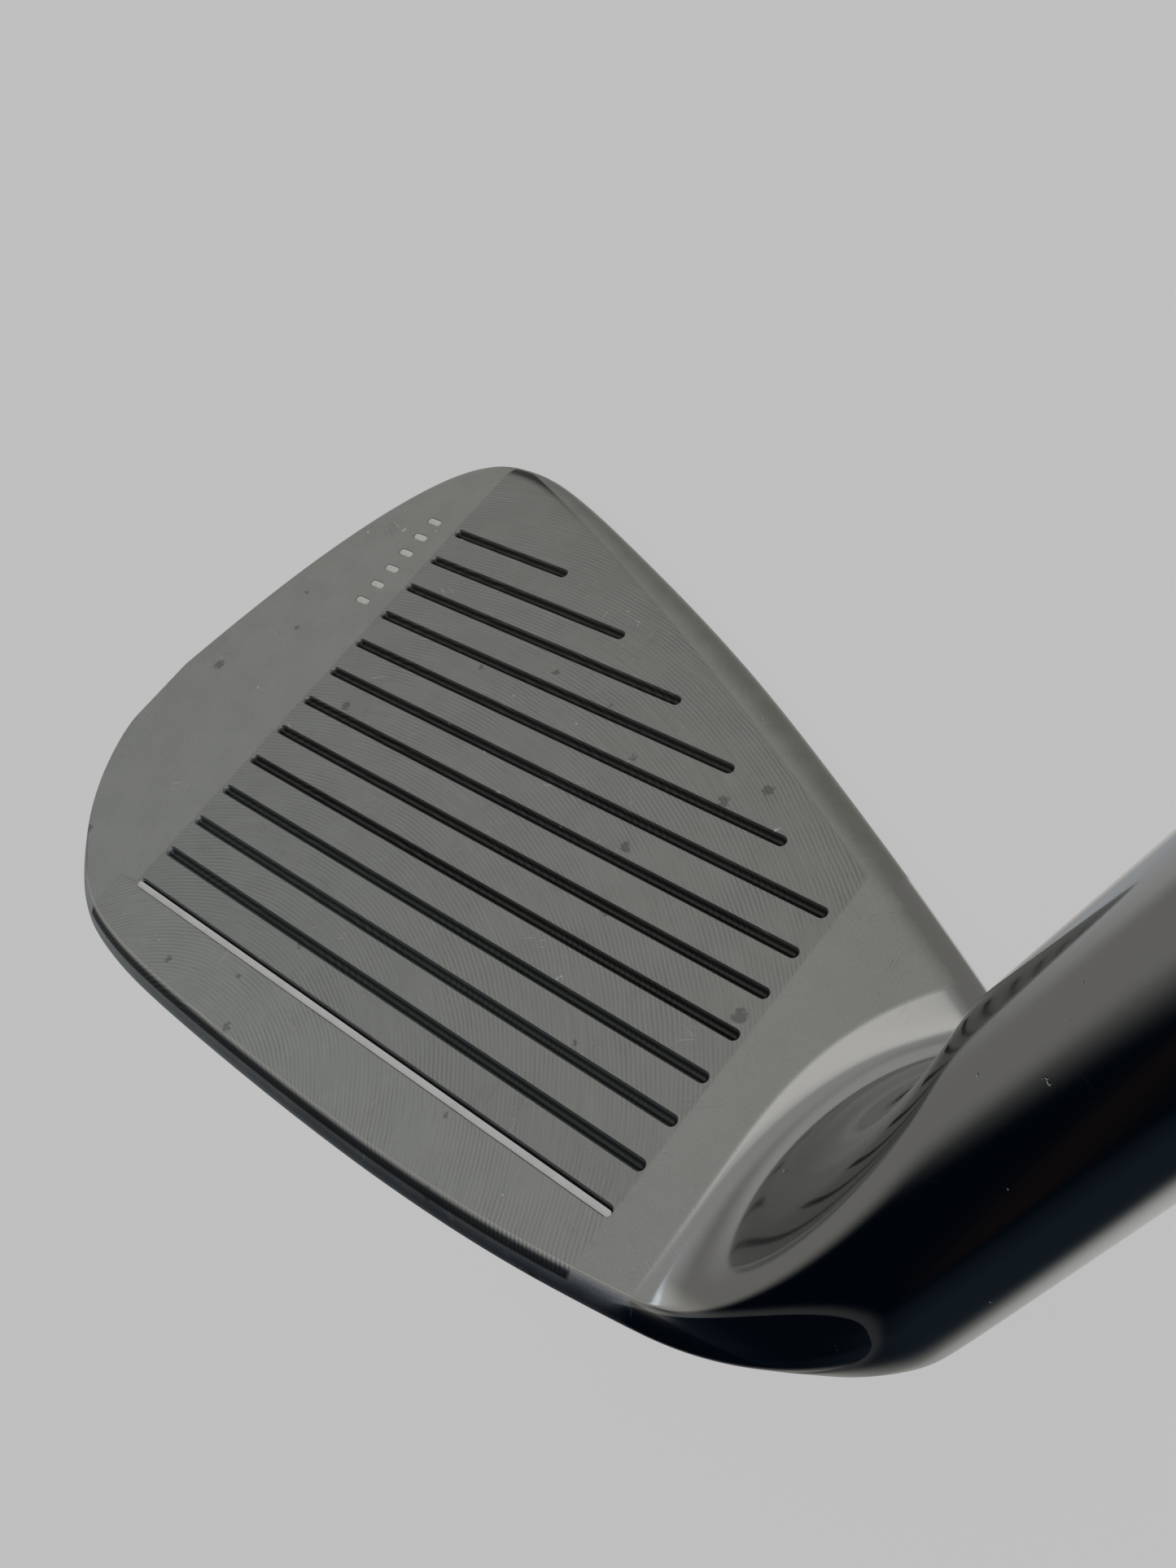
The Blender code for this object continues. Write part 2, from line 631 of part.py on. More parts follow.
def line_end(v):
    """How far the score line at height v runs before the top line comes too close."""
    peak = np.argmax(TOP_CURVE[:, 1])
    rising = TOP_CURVE[peak:][::-1]
    reach = np.interp(v + LINE_TOP_GAP, rising[:, 1], rising[:, 0])
    return min(LINE_LENGTH, reach)


def cut_score_lines(head, cutters):
    """Cut the score lines into the face."""
    for number in range(LINE_COUNT):
        v = number * LINE_PITCH
        mesh = slot_mesh("score_line", line_end(v), LINE_WIDTH, -LINE_DEPTH, LINE_DEPTH)
        cutter = add_object(f"score_line_{number + 1}", mesh, cutters)
        cutter.matrix_world = face_matrix(0.0, v)
        hide_cutter(cutter)
        cut(head, cutter)


def make_bottom_line_fill(collection):
    """Pale fill of the lowest score line, level with the face."""
    mesh = slot_mesh("bottom_line_fill", LINE_LENGTH - 2 * FIT, LINE_WIDTH - 2 * FIT,
                     FIT - LINE_DEPTH, -FIT)
    fill = add_object("bottom_line_fill", mesh, collection)
    fill.matrix_world = face_matrix(FIT, 0.0)
    finish(fill, (0.82, 0.82, 0.80), 0.45, 0.0)


def make_toe_mark(head, cutters, collection):
    """Cut the bars of the toe mark and fill each one."""
    for number in range(MARK_COUNT):
        v = MARK_V + number * MARK_PITCH
        u = MARK_U - MARK_LENGTH / 2
        pocket = slot_mesh("mark_pocket", MARK_LENGTH, MARK_WIDTH, -MARK_DEPTH, MARK_DEPTH)
        cutter = add_object(f"mark_pocket_{number + 1}", pocket, cutters)
        cutter.matrix_world = face_matrix(u, v)
        hide_cutter(cutter)
        cut(head, cutter)
        bar = slot_mesh("toe_mark_fill", MARK_LENGTH - 2 * FIT, MARK_WIDTH - 2 * FIT,
                        FIT - MARK_DEPTH, -FIT)
        fill = add_object(f"toe_mark_fill_{number + 1}", bar, collection)
        fill.matrix_world = face_matrix(u + FIT, v)
        finish(fill, (0.80, 0.80, 0.74), 0.5, 0.0)


def cut_bore(head, cutters):
    """Drill the blind bore for the shaft."""
    above = HOSEL_TOP + BORE_OVERRUN
    profile = [(0.0, above), (BORE_RADIUS, above), (BORE_RADIUS, BORE_BOTTOM), (0.0, BORE_BOTTOM)]
    cutter = turned("shaft_bore", profile, cutters, closed=False)
    hide_cutter(cutter)
    cut(head, cutter)


def cut_heel_flat(head, cutters):
    """Grind the small flat on the target side of the heel."""
    around = math.cos(FLAT_TURN) * TO_TARGET - math.sin(FLAT_TURN) * TO_CROTCH
    outward = math.cos(FLAT_TIP) * around - math.sin(FLAT_TIP) * UP_SHAFT
    place = SHAFT_FOOT + FLAT_HEIGHT * UP_SHAFT + FLAT_STANDOFF * around
    bm = bmesh.new()
    bmesh.ops.create_cube(bm, size=FLAT_CUTTER)
    cutter = add_object("heel_flat", mesh_from("heel_flat", bm), cutters)
    turn = Vector(outward).to_track_quat("Z", "X").to_matrix().to_4x4()
    middle = Vector(place + outward * FLAT_CUTTER / 2)
    cutter.matrix_world = Matrix.Translation(middle) @ turn
    hide_cutter(cutter)
    cut(head, cutter)


def make_head(collection, cutters):
    """The forging, with its bore, heel flat, score lines and toe mark."""
    head = add_object("club_head", head_skin(), collection)
    cut_bore(head, cutters)
    cut_heel_flat(head, cutters)
    cut_score_lines(head, cutters)
    make_toe_mark(head, cutters, collection)
    make_bottom_line_fill(collection)
    finish(head, (0.42, 0.43, 0.42), 0.35, 1.0)


# ---------------------------------------------------------------- laying the club down

def outer_points(collection):
    """Every vertex of the finished pieces, at address."""
    return [obj.matrix_world @ vertex.co for obj in collection.objects for vertex in obj.data.vertices]


def resting_direction(points):
    """Direction that faces the ground: square to the hull's facet below the balance point."""
    side = math.cos(REST_TURN) * -TO_TARGET - math.sin(REST_TURN) * TO_CROTCH
    balance = SHAFT_FOOT + BALANCE_HEIGHT * UP_SHAFT + BALANCE_OFFSET * TO_CROTCH
    bm = bmesh.new()
    for point in points:
        bm.verts.new(point)
    bmesh.ops.convex_hull(bm, input=bm.verts, use_existing_faces=False)
    bmesh.ops.triangulate(bm, faces=bm.faces)
    for face in bm.faces:
        corners_of_face = [vertex.co for vertex in face.verts]
        hit = intersect_ray_tri(*corners_of_face, Vector(side), Vector(balance), True)
        if hit:
            down = face.normal * math.copysign(1.0, face.normal.dot(Vector(side)))
    bm.free()
    return down


def lay_down(collection, cutters):
    """Parent everything to an empty that turns the club from address to its lying place."""
    bpy.context.view_layer.update()
    points = outer_points(collection)
    up = -resting_direction(points)
    along = (Vector(UP_SHAFT) - Vector(UP_SHAFT).dot(up) * up).normalized()
    turn = Matrix((along, up.cross(along), up))
    laid = np.array([turn @ point for point in points])
    low, high = laid.min(axis=0), laid.max(axis=0)
    place = Vector((-(low[0] + high[0]) / 2, -(low[1] + high[1]) / 2, -low[2]))
    rest = bpy.data.objects.new("lying_club", None)
    collection.objects.link(rest)
    rest.matrix_world = Matrix.Translation(place) @ turn.to_4x4()
    for obj in (*collection.objects, *cutters.objects):
        if obj is not rest:
            obj.parent = rest
    bpy.context.view_layer.update()


def main():
    clear_scene()
    club = new_collection("iron_golf_club")
    cutters = new_collection("cutters")
    make_head(club, cutters)
    make_hosel_bond(club)
    make_tip_weight(club)
    make_ferrule(club)
    make_shaft(club)
    make_shaft_band(club)
    make_grip_tape(club)
    make_grip(club)
    make_grip_cap(club)
    lay_down(club, cutters)


main()
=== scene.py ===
"""Looks of an iron golf club: a forged head, a stepped steel shaft and a rubber grip.

The head is lofted from the toe to the hosel at address, where the face leans back by the loft, then
laid down with the rest of the club. The other pieces are turned about the shaft's axis.
"""

import json
import math

import bmesh
import bpy
import numpy as np
from bpy.props import FloatProperty, FloatVectorProperty, IntProperty, PointerProperty
from mathutils import Matrix, Vector


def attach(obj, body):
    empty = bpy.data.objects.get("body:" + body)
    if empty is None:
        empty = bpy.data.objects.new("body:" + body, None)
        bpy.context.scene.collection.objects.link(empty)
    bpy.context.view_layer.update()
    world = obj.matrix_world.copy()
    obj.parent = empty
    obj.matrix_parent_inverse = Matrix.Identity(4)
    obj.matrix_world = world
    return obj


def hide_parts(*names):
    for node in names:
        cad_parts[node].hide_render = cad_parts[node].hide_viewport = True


bl_info = {
    "name": "Iron Golf Club",
    "version": (1, 0, 0),
    "blender": (4, 5, 0),
    "location": "View3D > Sidebar > Iron Club",
    "description": "Builds the finished look of an iron golf club around its solids",
    "category": "Object",
}

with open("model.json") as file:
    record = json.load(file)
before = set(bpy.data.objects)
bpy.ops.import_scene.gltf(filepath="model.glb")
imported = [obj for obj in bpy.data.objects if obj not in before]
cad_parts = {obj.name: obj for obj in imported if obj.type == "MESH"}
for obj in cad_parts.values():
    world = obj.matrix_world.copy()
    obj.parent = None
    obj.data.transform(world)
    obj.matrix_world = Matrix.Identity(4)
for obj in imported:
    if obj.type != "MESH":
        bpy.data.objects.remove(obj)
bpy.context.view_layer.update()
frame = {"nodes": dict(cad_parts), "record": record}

MM = 0.001

# The club, as it is designed at address. Distances up the shaft start where its axis meets the ground.
CLUB_LENGTH = 902 * MM
LIE = math.radians(62)
LOFT = math.radians(46)
FACE_OFFSET = 3.4 * MM
LINE_HEIGHT = 7.5 * MM
LINE_LENGTH = 51.5 * MM
LINE_TOP_GAP = 7.2 * MM
HEEL_POINT = 34.0 * MM
SHAFT_OFFSET = 0.9 * MM

# Outline of the blade on the face plane, toe to heel: along the face, and up it.
TOE_TIP = (-15.2, 16.0)
TOP_OUTLINE = ((-13.7, 25.0), (-11.7, 34.0), (-8.8, 42.6), (-5.0, 49.0), (0.0, 51.4), (6.0, 50.5),
               (15.0, 47.5), (30.0, 41.7), (45.0, 34.8), (56.0, 28.8), (66.0, 23.5))
EDGE_OUTLINE = ((-14.6, 10.5), (-12.0, 5.0), (-8.2, 0.9), (-3.5, -2.4), (3.0, -4.1), (16.0, -4.8),
                (32.0, -4.9), (45.0, -4.2), (56.0, -2.7), (66.0, -1.0))
OUTLINE_STEPS = 12

# Thickness and sole of the blade.
TOP_LINE_WIDTH = 6.0 * MM
TOP_LINE_FALL = 1.0 * MM
UPPER_THICKNESS = 6.5 * MM
SOLE_WIDTH = 20.0 * MM
BOUNCE = math.radians(10)
TRAILING_RISE = math.radians(13)
MUSCLE_HEIGHT = 9.0 * MM
MUSCLE_LEAN = 3.5 * MM
MUSCLE_FADE = 9.0 * MM
FULL_HEIGHT = 45.0 * MM
BOUNCE_SHARE = 0.55
RELIEF_SHARE = 0.47
TOE_SOLE_SHARE = 0.35
TOE_TOP_SHARE = 0.4
EDGE_RADIUS = 2.0 * MM
TOP_RADIUS = 2.4 * MM
TOP_BACK_RADIUS = 2.0 * MM
FADE_RADIUS = 8.0 * MM
MUSCLE_RADIUS = 6.0 * MM
TRAILING_RADIUS = 2.5 * MM
SOLE_RADIUS = 22.0 * MM
TOE_ROUNDING = 12.0 * MM
TOE_RUN_OUT = 2.0 * MM
FIRST_TOE_ANGLE = 0.15
BLADE_END = 56.0 * MM
HEEL_LEAN = 9.0 * MM
LEAN_START = 0.64
LEAN_FOOT = 6.0 * MM
LEAN_REACH = 22.0 * MM
LEAN_MOST = 1.3
LEAN_POWER = 1.6
FOLLOW_FOOT = 10.0 * MM
FOLLOW_REACH = 15.0 * MM

# Heel blend, hosel, and the flat that is ground on the heel.
HOSEL_RADIUS = 6.7 * MM
HOSEL_TOP = 71.0 * MM
HOSEL_CHAMFER = 0.4 * MM
BLEND_MIDDLE = 23.2 * MM
BLEND_SLANT = 8.0 * MM
BLEND_PULL = 1.05
BLEND_RUN_OUT = 3.0 * MM
COVE_ANGLE = math.radians(62)
COVE_SPREAD = math.radians(38)
COVE_DEPTH = 0.40
CORNER_SHARE = 0.2
CORNER_ANGLES = (130, 108, -10, -70, -100, -125, -155, -200)
LIP_TURN = math.radians(30)
LIP_RADIUS = 0.25 * MM
FLAT_HEIGHT = 9.9 * MM
FLAT_STANDOFF = 5.55 * MM
FLAT_TURN = math.radians(22)
FLAT_TIP = math.radians(10)
FLAT_CUTTER = 30.0 * MM

# Fineness of the head's cage, which two levels of subdivision then smooth.
TOE_RINGS = 12
BLADE_RINGS = 14
CAGE_BLEND_RINGS = 16
CAGE_LEVELS = 2
FACE_STEPS = 8
SIDE_STEPS = 3

# Toe mark: a row of plain bars.
MARK_COUNT = 6
MARK_PITCH = 2.0 * MM
MARK_LENGTH = 1.6 * MM
MARK_WIDTH = 0.7 * MM
MARK_DEPTH = 0.25 * MM
MARK_U = -3.0 * MM
MARK_V = 31.0 * MM
SLOT_POINTS = 9             # points around one round end of a groove or a bar
PAINT_RECESS = 0.01 * MM
PAINT_GAP = 0.02 * MM
LINE_PAINT_WIDTH = 0.56 * MM
LINE_PAINT_DROP = 0.14 * MM

# Shaft and bore.
BORE_DEPTH = 31.0 * MM
TIP_RADIUS = 4.70 * MM
BUTT_RADIUS = 7.62 * MM
TIP_WALL = 0.75 * MM
BUTT_WALL = 0.45 * MM
BOND_WALL = 0.15 * MM
BORE_FLOOR_GAP = 0.5 * MM
FIT = 0.02 * MM
STEP_COUNT = 12
STEP_LENGTH = 28.0 * MM
STEP_SHOULDER = 1.5 * MM
LAST_STEP_BELOW_GRIP = 75.0 * MM

# Ferrule, band and grip.
FERRULE_LENGTH = 24.0 * MM
FERRULE_TOP_WALL = 0.45 * MM
FERRULE_BAND = 3.0 * MM
FERRULE_WAIST = 12.0 * MM
FERRULE_WAIST_WALL = 1.42 * MM
BAND_LENGTH = 35.0 * MM
BAND_BELOW_GRIP = 15.0 * MM
BAND_THICKNESS = 0.12 * MM
GRIP_LENGTH = 267.0 * MM
GRIP_MOUTH_WALL = 1.3 * MM
GRIP_LIP = 4.0 * MM
GRIP_FLARE = 1.35
GRIP_BUTT_RADIUS = 13.4 * MM
TAPE_THICKNESS = 0.25 * MM
CAP_THICKNESS = 3.2 * MM
CAP_STEM = 6.0 * MM
VENT_RADIUS = 1.5 * MM
TURN_STEPS = 96

# Limits of the head's finishes, in millimetres on the face: u along it, v up it and w out of it.
SATIN_END = 55.7            # u where the satin ends at the heel, low on the face
SATIN_FLARE = 5.3           # how much further it runs where it is SATIN_RISE above SATIN_FOOT
SATIN_FOOT = 5.0
SATIN_RISE = 18.0
MILLED_TOP = 50.3           # v where the milling ends below the top line, at the toe end
MILLED_SLOPE = -0.355       # and how that limit falls and bends along the face
MILLED_BEND = 0.00156
MILLED_END = 51.5           # u where the milling ends at the heel
MILLED_LEAN = 0.03          # and how far that limit leans with v
FLAT_REACH = (13.0, 11.0)   # distances from the middle of the heel flat between which it fades out

# Milling arcs on the face, in millimetres, and how deep the fine relief of the steel is.
MILL_CENTRE = (14.4, -16.9)
MILL_PITCH = 0.32
RELIEF_DEPTH = 0.03 * MM

# Colours of the steel where it isn't plain, and of light and shade painted on it.
SOLE_COLOUR = (0.58, 0.62, 0.66, 1)
# Painted highlight: a pale line where the face starts to roll into the leading edge.
LIP_HIGHLIGHT_COLOUR = (0.74, 0.74, 0.72, 1)
# Painted shade: near black inside the score lines, standing in for the shade in them.
GROOVE_SHADE_COLOUR = (0.03, 0.032, 0.032, 1)
SMUDGE_COLOUR = (0.10, 0.10, 0.10, 1)
NICK_COLOUR = (0.75, 0.75, 0.73, 1)
SCRATCH_COLOUR = (0.8, 0.8, 0.78, 1)
MARK_COLOUR = (0.90, 0.90, 0.84)

# Directions and places at address.
ALONG_FACE = np.array((1.0, 0.0, 0.0))
UP_FACE = np.array((0.0, math.sin(LOFT), math.cos(LOFT)))
OUT_OF_FACE = np.array((0.0, -math.cos(LOFT), math.sin(LOFT)))
UP_SHAFT = np.array((math.cos(LIE), 0.0, math.sin(LIE)))
TO_CROTCH = np.array((-math.sin(LIE), 0.0, math.cos(LIE)))
TO_TARGET = np.array((0.0, -1.0, 0.0))
FACE_ORIGIN = np.array((-LINE_LENGTH / 2, -FACE_OFFSET, LINE_HEIGHT))
SHAFT_FOOT = np.array((HEEL_POINT, SHAFT_OFFSET, 0.0))
BORE_BOTTOM = HOSEL_TOP - BORE_DEPTH
SHAFT_TIP = BORE_BOTTOM + BORE_FLOOR_GAP
CAP_BOTTOM = CLUB_LENGTH - CAP_THICKNESS
SHAFT_BUTT = CAP_BOTTOM - FIT
GRIP_MOUTH = CLUB_LENGTH - GRIP_LENGTH
LAST_STEP = GRIP_MOUTH - LAST_STEP_BELOW_GRIP
FIRST_STEP = LAST_STEP - STEP_LENGTH * (STEP_COUNT - 1)
BORE_RADIUS = TIP_RADIUS + BOND_WALL + 2 * FIT

# The camera, in the frame of the club at address.
CAMERA_PLACE = (0.06895, -0.06962, 0.06257)
CAMERA_AZIMUTH = math.radians(37.93)
CAMERA_ELEVATION = math.radians(19.597)
CAMERA_ROLL = math.radians(-11.395)
CAMERA_LENS = 34.8145
CAMERA_SENSOR = 36.0
CAMERA_NEAR = 0.005


# ---------------------------------------------------------------- settings

def colour_setting(name, description, default):
    """A colour that a user can change."""
    return FloatVectorProperty(name=name, description=description, default=default,
                               subtype="COLOR", min=0, max=1)


def length_setting(name, description, default):
    """A length that a user can change."""
    return FloatProperty(name=name, description=description, default=default, unit="LENGTH",
                         precision=5)


class ClubHeadSettings(bpy.types.PropertyGroup):
    line_count: IntProperty(name="Score lines", description="Number of score lines", default=13,
                            min=1, max=13)
    line_pitch: length_setting("Line pitch", "Distance between score lines", 3.4 * MM)
    line_width: length_setting("Line width", "Width of a score line at the face", 0.9 * MM)
    line_depth: length_setting("Line depth", "Depth of a score line", 0.42 * MM)
    steel_colour: colour_setting("Steel", "Colour of the polished steel", (0.42, 0.42, 0.42))
    satin_colour: colour_setting("Satin steel", "Colour of the blasted steel", (0.335, 0.34, 0.325))
    paint_colour: colour_setting("Paint", "Colour of the lowest line", (0.92, 0.92, 0.90))


class ShaftSettings(bpy.types.PropertyGroup):
    chrome_colour: colour_setting("Chrome", "Colour of the shaft's plating", (0.66, 0.67, 0.68))
    ferrule_colour: colour_setting("Ferrule", "Colour of the ferrule", (0.012, 0.012, 0.014))
    band_colour: colour_setting("Band", "Colour of the shaft's printed band", (0.03, 0.045, 0.07))


class GripSettings(bpy.types.PropertyGroup):
    pads_around: IntProperty(name="Pads around", description="Raised pads in one row of the grip",
                             default=18, min=4, max=40)
    pad_rows: IntProperty(name="Pad rows", description="Rows of raised pads along the grip",
                          default=84, min=4, max=200)
    pad_height: length_setting("Pad height", "How far a pad stands proud", 0.35 * MM)
    rubber_colour: colour_setting("Rubber", "Colour of the grip", (0.022, 0.022, 0.024))


class StudioSettings(bpy.types.PropertyGroup):
    floor_size: FloatProperty(name="Floor size", description="Width of the floor", default=60.0,
                              unit="LENGTH")
    floor_tone: FloatProperty(name="Floor tone", description="Light that the floor gives off",
                              default=0.76, min=0)
    light_level: FloatProperty(name="Light level", description="Strength of the studio's light",
                               default=1.5, min=0)


# ---------------------------------------------------------------- places

def matrix_of(columns, place):
    """A frame from its three directions and its origin."""
    matrix = Matrix([[column[row] for column in columns] for row in range(3)]).to_4x4()
    matrix.translation = Vector(place)
    return matrix


def lying_matrix():
    """Where the frame of the club at address lies, from the ground plane and the butt's axis."""
    mounts = {mount["name"]: mount for mount in frame["record"]["mounts"]}
    up = -Vector(mounts["sole_flat"]["axis"]).normalized()
    shaft = Vector(mounts["butt_end"]["axis"])
    across = (shaft - shaft.dot(up) * up).normalized()
    return matrix_of((across, up.cross(across), up), mounts["sole_flat"]["pos_m"])


LYING = lying_matrix()
FACE_FRAME = LYING @ matrix_of((ALONG_FACE, UP_FACE, OUT_OF_FACE), FACE_ORIGIN)
SHAFT_FRAME = LYING @ matrix_of((-TO_CROTCH, -TO_TARGET, UP_SHAFT), SHAFT_FOOT)


# ---------------------------------------------------------------- objects

def add_object(name, mesh):
    """An object for a mesh, in the scene."""
    obj = bpy.data.objects.new(name, mesh)
    bpy.context.scene.collection.objects.link(obj)
    return obj


def settled_mesh(obj):
    """The object's evaluated shape as a plain mesh; the object is removed."""
    bpy.context.view_layer.update()
    shape = obj.evaluated_get(bpy.context.evaluated_depsgraph_get())
    mesh = bpy.data.meshes.new_from_object(shape)
    bpy.data.objects.remove(obj, do_unlink=True)
    return mesh


def mesh_from(name, bm):
    """A mesh from a bmesh, with its faces turned outwards."""
    bmesh.ops.recalc_face_normals(bm, faces=bm.faces)
    mesh = bpy.data.meshes.new(name)
    bm.to_mesh(mesh)
    bm.free()
    return mesh


def grid_mesh(name, rings, closed_ends):
    """A mesh through rings of points, capped at both ends or joined from last ring to first."""
    bm = bmesh.new()
    loops = [[bm.verts.new(point) for point in ring] for ring in rings]
    pairs = list(zip(loops, loops[1:]))
    if not closed_ends:
        pairs.append((loops[-1], loops[0]))
    for lower, upper in pairs:
        for i in range(len(lower)):
            bm.faces.new((lower[i - 1], lower[i], upper[i], upper[i - 1]))
    if closed_ends:
        bm.faces.new(loops[0])
        bm.faces.new(loops[-1])
    return mesh_from(name, bm)


def finish_piece(name, mesh, material, nodes, sharp=35.0):
    """Make a finished piece of a mesh that is already in place."""
    mesh.name = name
    mesh.shade_smooth()
    mesh.set_sharp_from_angle(angle=math.radians(sharp))
    mesh.materials.clear()
    mesh.materials.append(material)
    piece = add_object(name, mesh)
    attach(piece, "root")
    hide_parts(*nodes)
    return piece


def repaint(node, material):
    """Give a carried-over solid a finished material."""
    mesh = frame["nodes"][node].data
    mesh.materials.clear()
    mesh.materials.append(material)


def socket_id(tree, name):
    """Identifier of a tree's input."""
    for item in tree.interface.items_tree:
        if item.name == name and item.in_out == "INPUT":
            return item.identifier
    raise KeyError(name)


def run_tree(obj, tree, values):
    """Run a geometry tree on an object with its inputs set, and return the plain mesh."""
    modifier = obj.modifiers.new(tree.name, "NODES")
    modifier.node_group = tree
    for name, value in values.items():
        modifier[socket_id(tree, name)] = value
    return settled_mesh(obj)


# ---------------------------------------------------------------- node graphs

class Graph:
    """Adds nodes to a tree and feeds their sockets with values or links."""

    def __init__(self, tree):
        self.tree = tree

    def feed(self, socket, value):
        """Link a socket to another, or set its value."""
        if isinstance(value, bpy.types.NodeSocket):
            self.tree.links.new(value, socket)
        else:
            socket.default_value = value

    def add(self, kind, inputs=(), **settings):
        """A node of a kind, with its settings and its inputs by name or number."""
        node = self.tree.nodes.new(kind)
        for name, value in settings.items():
            setattr(node, name, value)
        for name, value in dict(inputs).items():
            self.feed(node.inputs[name], value)
        return node

    def math(self, operation, first, second=0.0):
        """One Math node."""
        return self.add("ShaderNodeMath", {0: first, 1: second}, operation=operation).outputs[0]

    def plus(self, first, second):
        """A sum."""
        return self.math("ADD", first, second)

    def minus(self, first, second):
        """A difference."""
        return self.math("SUBTRACT", first, second)

    def times(self, first, second):
        """A product."""
        return self.math("MULTIPLY", first, second)

    def over(self, first, second):
        """A quotient."""
        return self.math("DIVIDE", first, second)

    def vector(self, operation, first, second=(0.0, 0.0, 0.0)):
        """One Vector Math node."""
        return self.add("ShaderNodeVectorMath", {0: first, 1: second}, operation=operation)

    def step(self, value, low, high, start=0.0, end=1.0):
        """A smooth step from start to end as the value goes from low to high."""
        node = self.add("ShaderNodeMapRange", {0: value, 1: low, 2: high, 3: start, 4: end},
                        interpolation_type="SMOOTHSTEP")
        return node.outputs[0]

    def blend(self, factor, first, second):
        """A mix of two colours."""
        node = self.add("ShaderNodeMix", {0: factor, 6: first, 7: second}, data_type="RGBA")
        return node.outputs[2]

    def mix(self, factor, first, second):
        """A mix of two values."""
        node = self.add("ShaderNodeMix", {0: factor, 2: first, 3: second}, data_type="FLOAT")
        return node.outputs[0]

    def split(self, vector):
        """The three parts of a vector."""
        return self.add("ShaderNodeSeparateXYZ", {0: vector}).outputs

    def join(self, x=0.0, y=0.0, z=0.0):
        """A vector of three parts."""
        return self.add("ShaderNodeCombineXYZ", {0: x, 1: y, 2: z}).outputs[0]

    def noise(self, vector, scale, detail=3.0, roughness=0.5):
        """Smooth noise between 0 and 1."""
        node = self.add("ShaderNodeTexNoise", {"Vector": vector, "Scale": scale, "Detail": detail,
                                               "Roughness": roughness})
        return node.outputs[0]

    def group(self, tree, inputs=()):
        """A shader group with its own values."""
        node = self.tree.nodes.new("ShaderNodeGroup")
        node.node_tree = tree
        for name, value in dict(inputs).items():
            self.feed(node.inputs[name], value)
        return node.outputs


def shader_group(name, inputs, outputs):
    """An empty shader group and its graph, with the sockets of its input and output nodes."""
    tree = bpy.data.node_groups.new(name, "ShaderNodeTree")
    for label, kind, default in inputs:
        socket = tree.interface.new_socket(label, in_out="INPUT", socket_type=kind)
        if default is not None:
            socket.default_value = default
    for label, kind in outputs:
        tree.interface.new_socket(label, in_out="OUTPUT", socket_type=kind)
    graph = Graph(tree)
    return tree, graph, graph.add("NodeGroupInput").outputs, graph.add("NodeGroupOutput").inputs


FLOAT_SOCKET = "NodeSocketFloat"
VECTOR_SOCKET = "NodeSocketVector"


def grain_group():
    """Fine blasted or moulded grain: a height, and slow patches of tone."""
    tree, graph, inputs, outputs = shader_group(
        "fine_grain", (("Vector", VECTOR_SOCKET, None), ("Scale", FLOAT_SOCKET, 4.0)),
        (("Height", FLOAT_SOCKET), ("Patches", FLOAT_SOCKET)))
    fine = graph.noise(inputs["Vector"], inputs["Scale"], 4.0, 0.7)
    slow = graph.noise(inputs["Vector"], graph.times(inputs["Scale"], 0.05), 3.0)
    graph.feed(outputs["Height"], fine)
    graph.feed(outputs["Patches"], graph.step(slow, 0.35, 0.65))
    return tree


def scratch_group():
    """Thin stray scratches in several directions: a mask."""
    tree, graph, inputs, outputs = shader_group(
        "stray_scratches", (("Vector", VECTOR_SOCKET, None), ("Scale", FLOAT_SOCKET, 1.0),
                            ("Density", FLOAT_SOCKET, 0.5)), (("Mask", FLOAT_SOCKET),))
    total = None
    for turn in (0.35, 1.5, 2.6):
        turned = graph.add("ShaderNodeVectorRotate", {"Vector": inputs["Vector"], "Angle": turn},
                           rotation_type="Z_AXIS").outputs[0]
        drawn = graph.vector("MULTIPLY", turned, (0.05, 1.6, 0.4)).outputs[0]
        lines = graph.noise(drawn, inputs["Scale"], 2.0)
        off = graph.math("ABSOLUTE", graph.minus(lines, 0.5))
        line = graph.step(off, 0.004, 0.0015)
        patch = graph.noise(graph.vector("ADD", turned, (turn * 9, 3, 1)).outputs[0], 0.35, 2.0)
        limit = graph.minus(0.85, graph.times(inputs["Density"], 0.4))
        line = graph.times(line, graph.step(patch, limit, graph.plus(limit, 0.05)))
        total = line if total is None else graph.math("MAXIMUM", total, line)
    graph.feed(outputs["Mask"], total)
    return tree


def speck_group():
    """Scattered specks, such as nicks, pits or dust: a mask."""
    tree, graph, inputs, outputs = shader_group(
        "specks", (("Vector", VECTOR_SOCKET, None), ("Scale", FLOAT_SOCKET, 1.0),
                   ("Size", FLOAT_SOCKET, 0.2), ("Share", FLOAT_SOCKET, 0.2)),
        (("Mask", FLOAT_SOCKET),))
    bent = graph.vector("ADD", inputs["Vector"], graph.add(
        "ShaderNodeTexNoise", {"Vector": inputs["Vector"], "Scale": 2.0}).outputs[1]).outputs[0]
    cell = graph.add("ShaderNodeTexVoronoi", {"Vector": bent, "Scale": inputs["Scale"]})
    some = graph.math("LESS_THAN", graph.split(cell.outputs["Color"])[0], inputs["Share"])
    size = graph.times(inputs["Size"], graph.split(cell.outputs["Color"])[1])
    dot = graph.step(cell.outputs["Distance"], size, graph.times(size, 0.6))
    graph.feed(outputs["Mask"], graph.times(some, dot))
    return tree


def turning_group():
    """Rings that polishing leaves around a turned piece: a height."""
    tree, graph, inputs, outputs = shader_group(
        "turning_marks", (("Vector", VECTOR_SOCKET, None), ("Scale", FLOAT_SOCKET, 3.0)),
        (("Height", FLOAT_SOCKET),))
    drawn = graph.vector("MULTIPLY", inputs["Vector"], (0.02, 0.02, 1.0)).outputs[0]
    graph.feed(outputs["Height"], graph.noise(drawn, inputs["Scale"], 3.0, 0.6))
    return tree


EFFECTS = {}


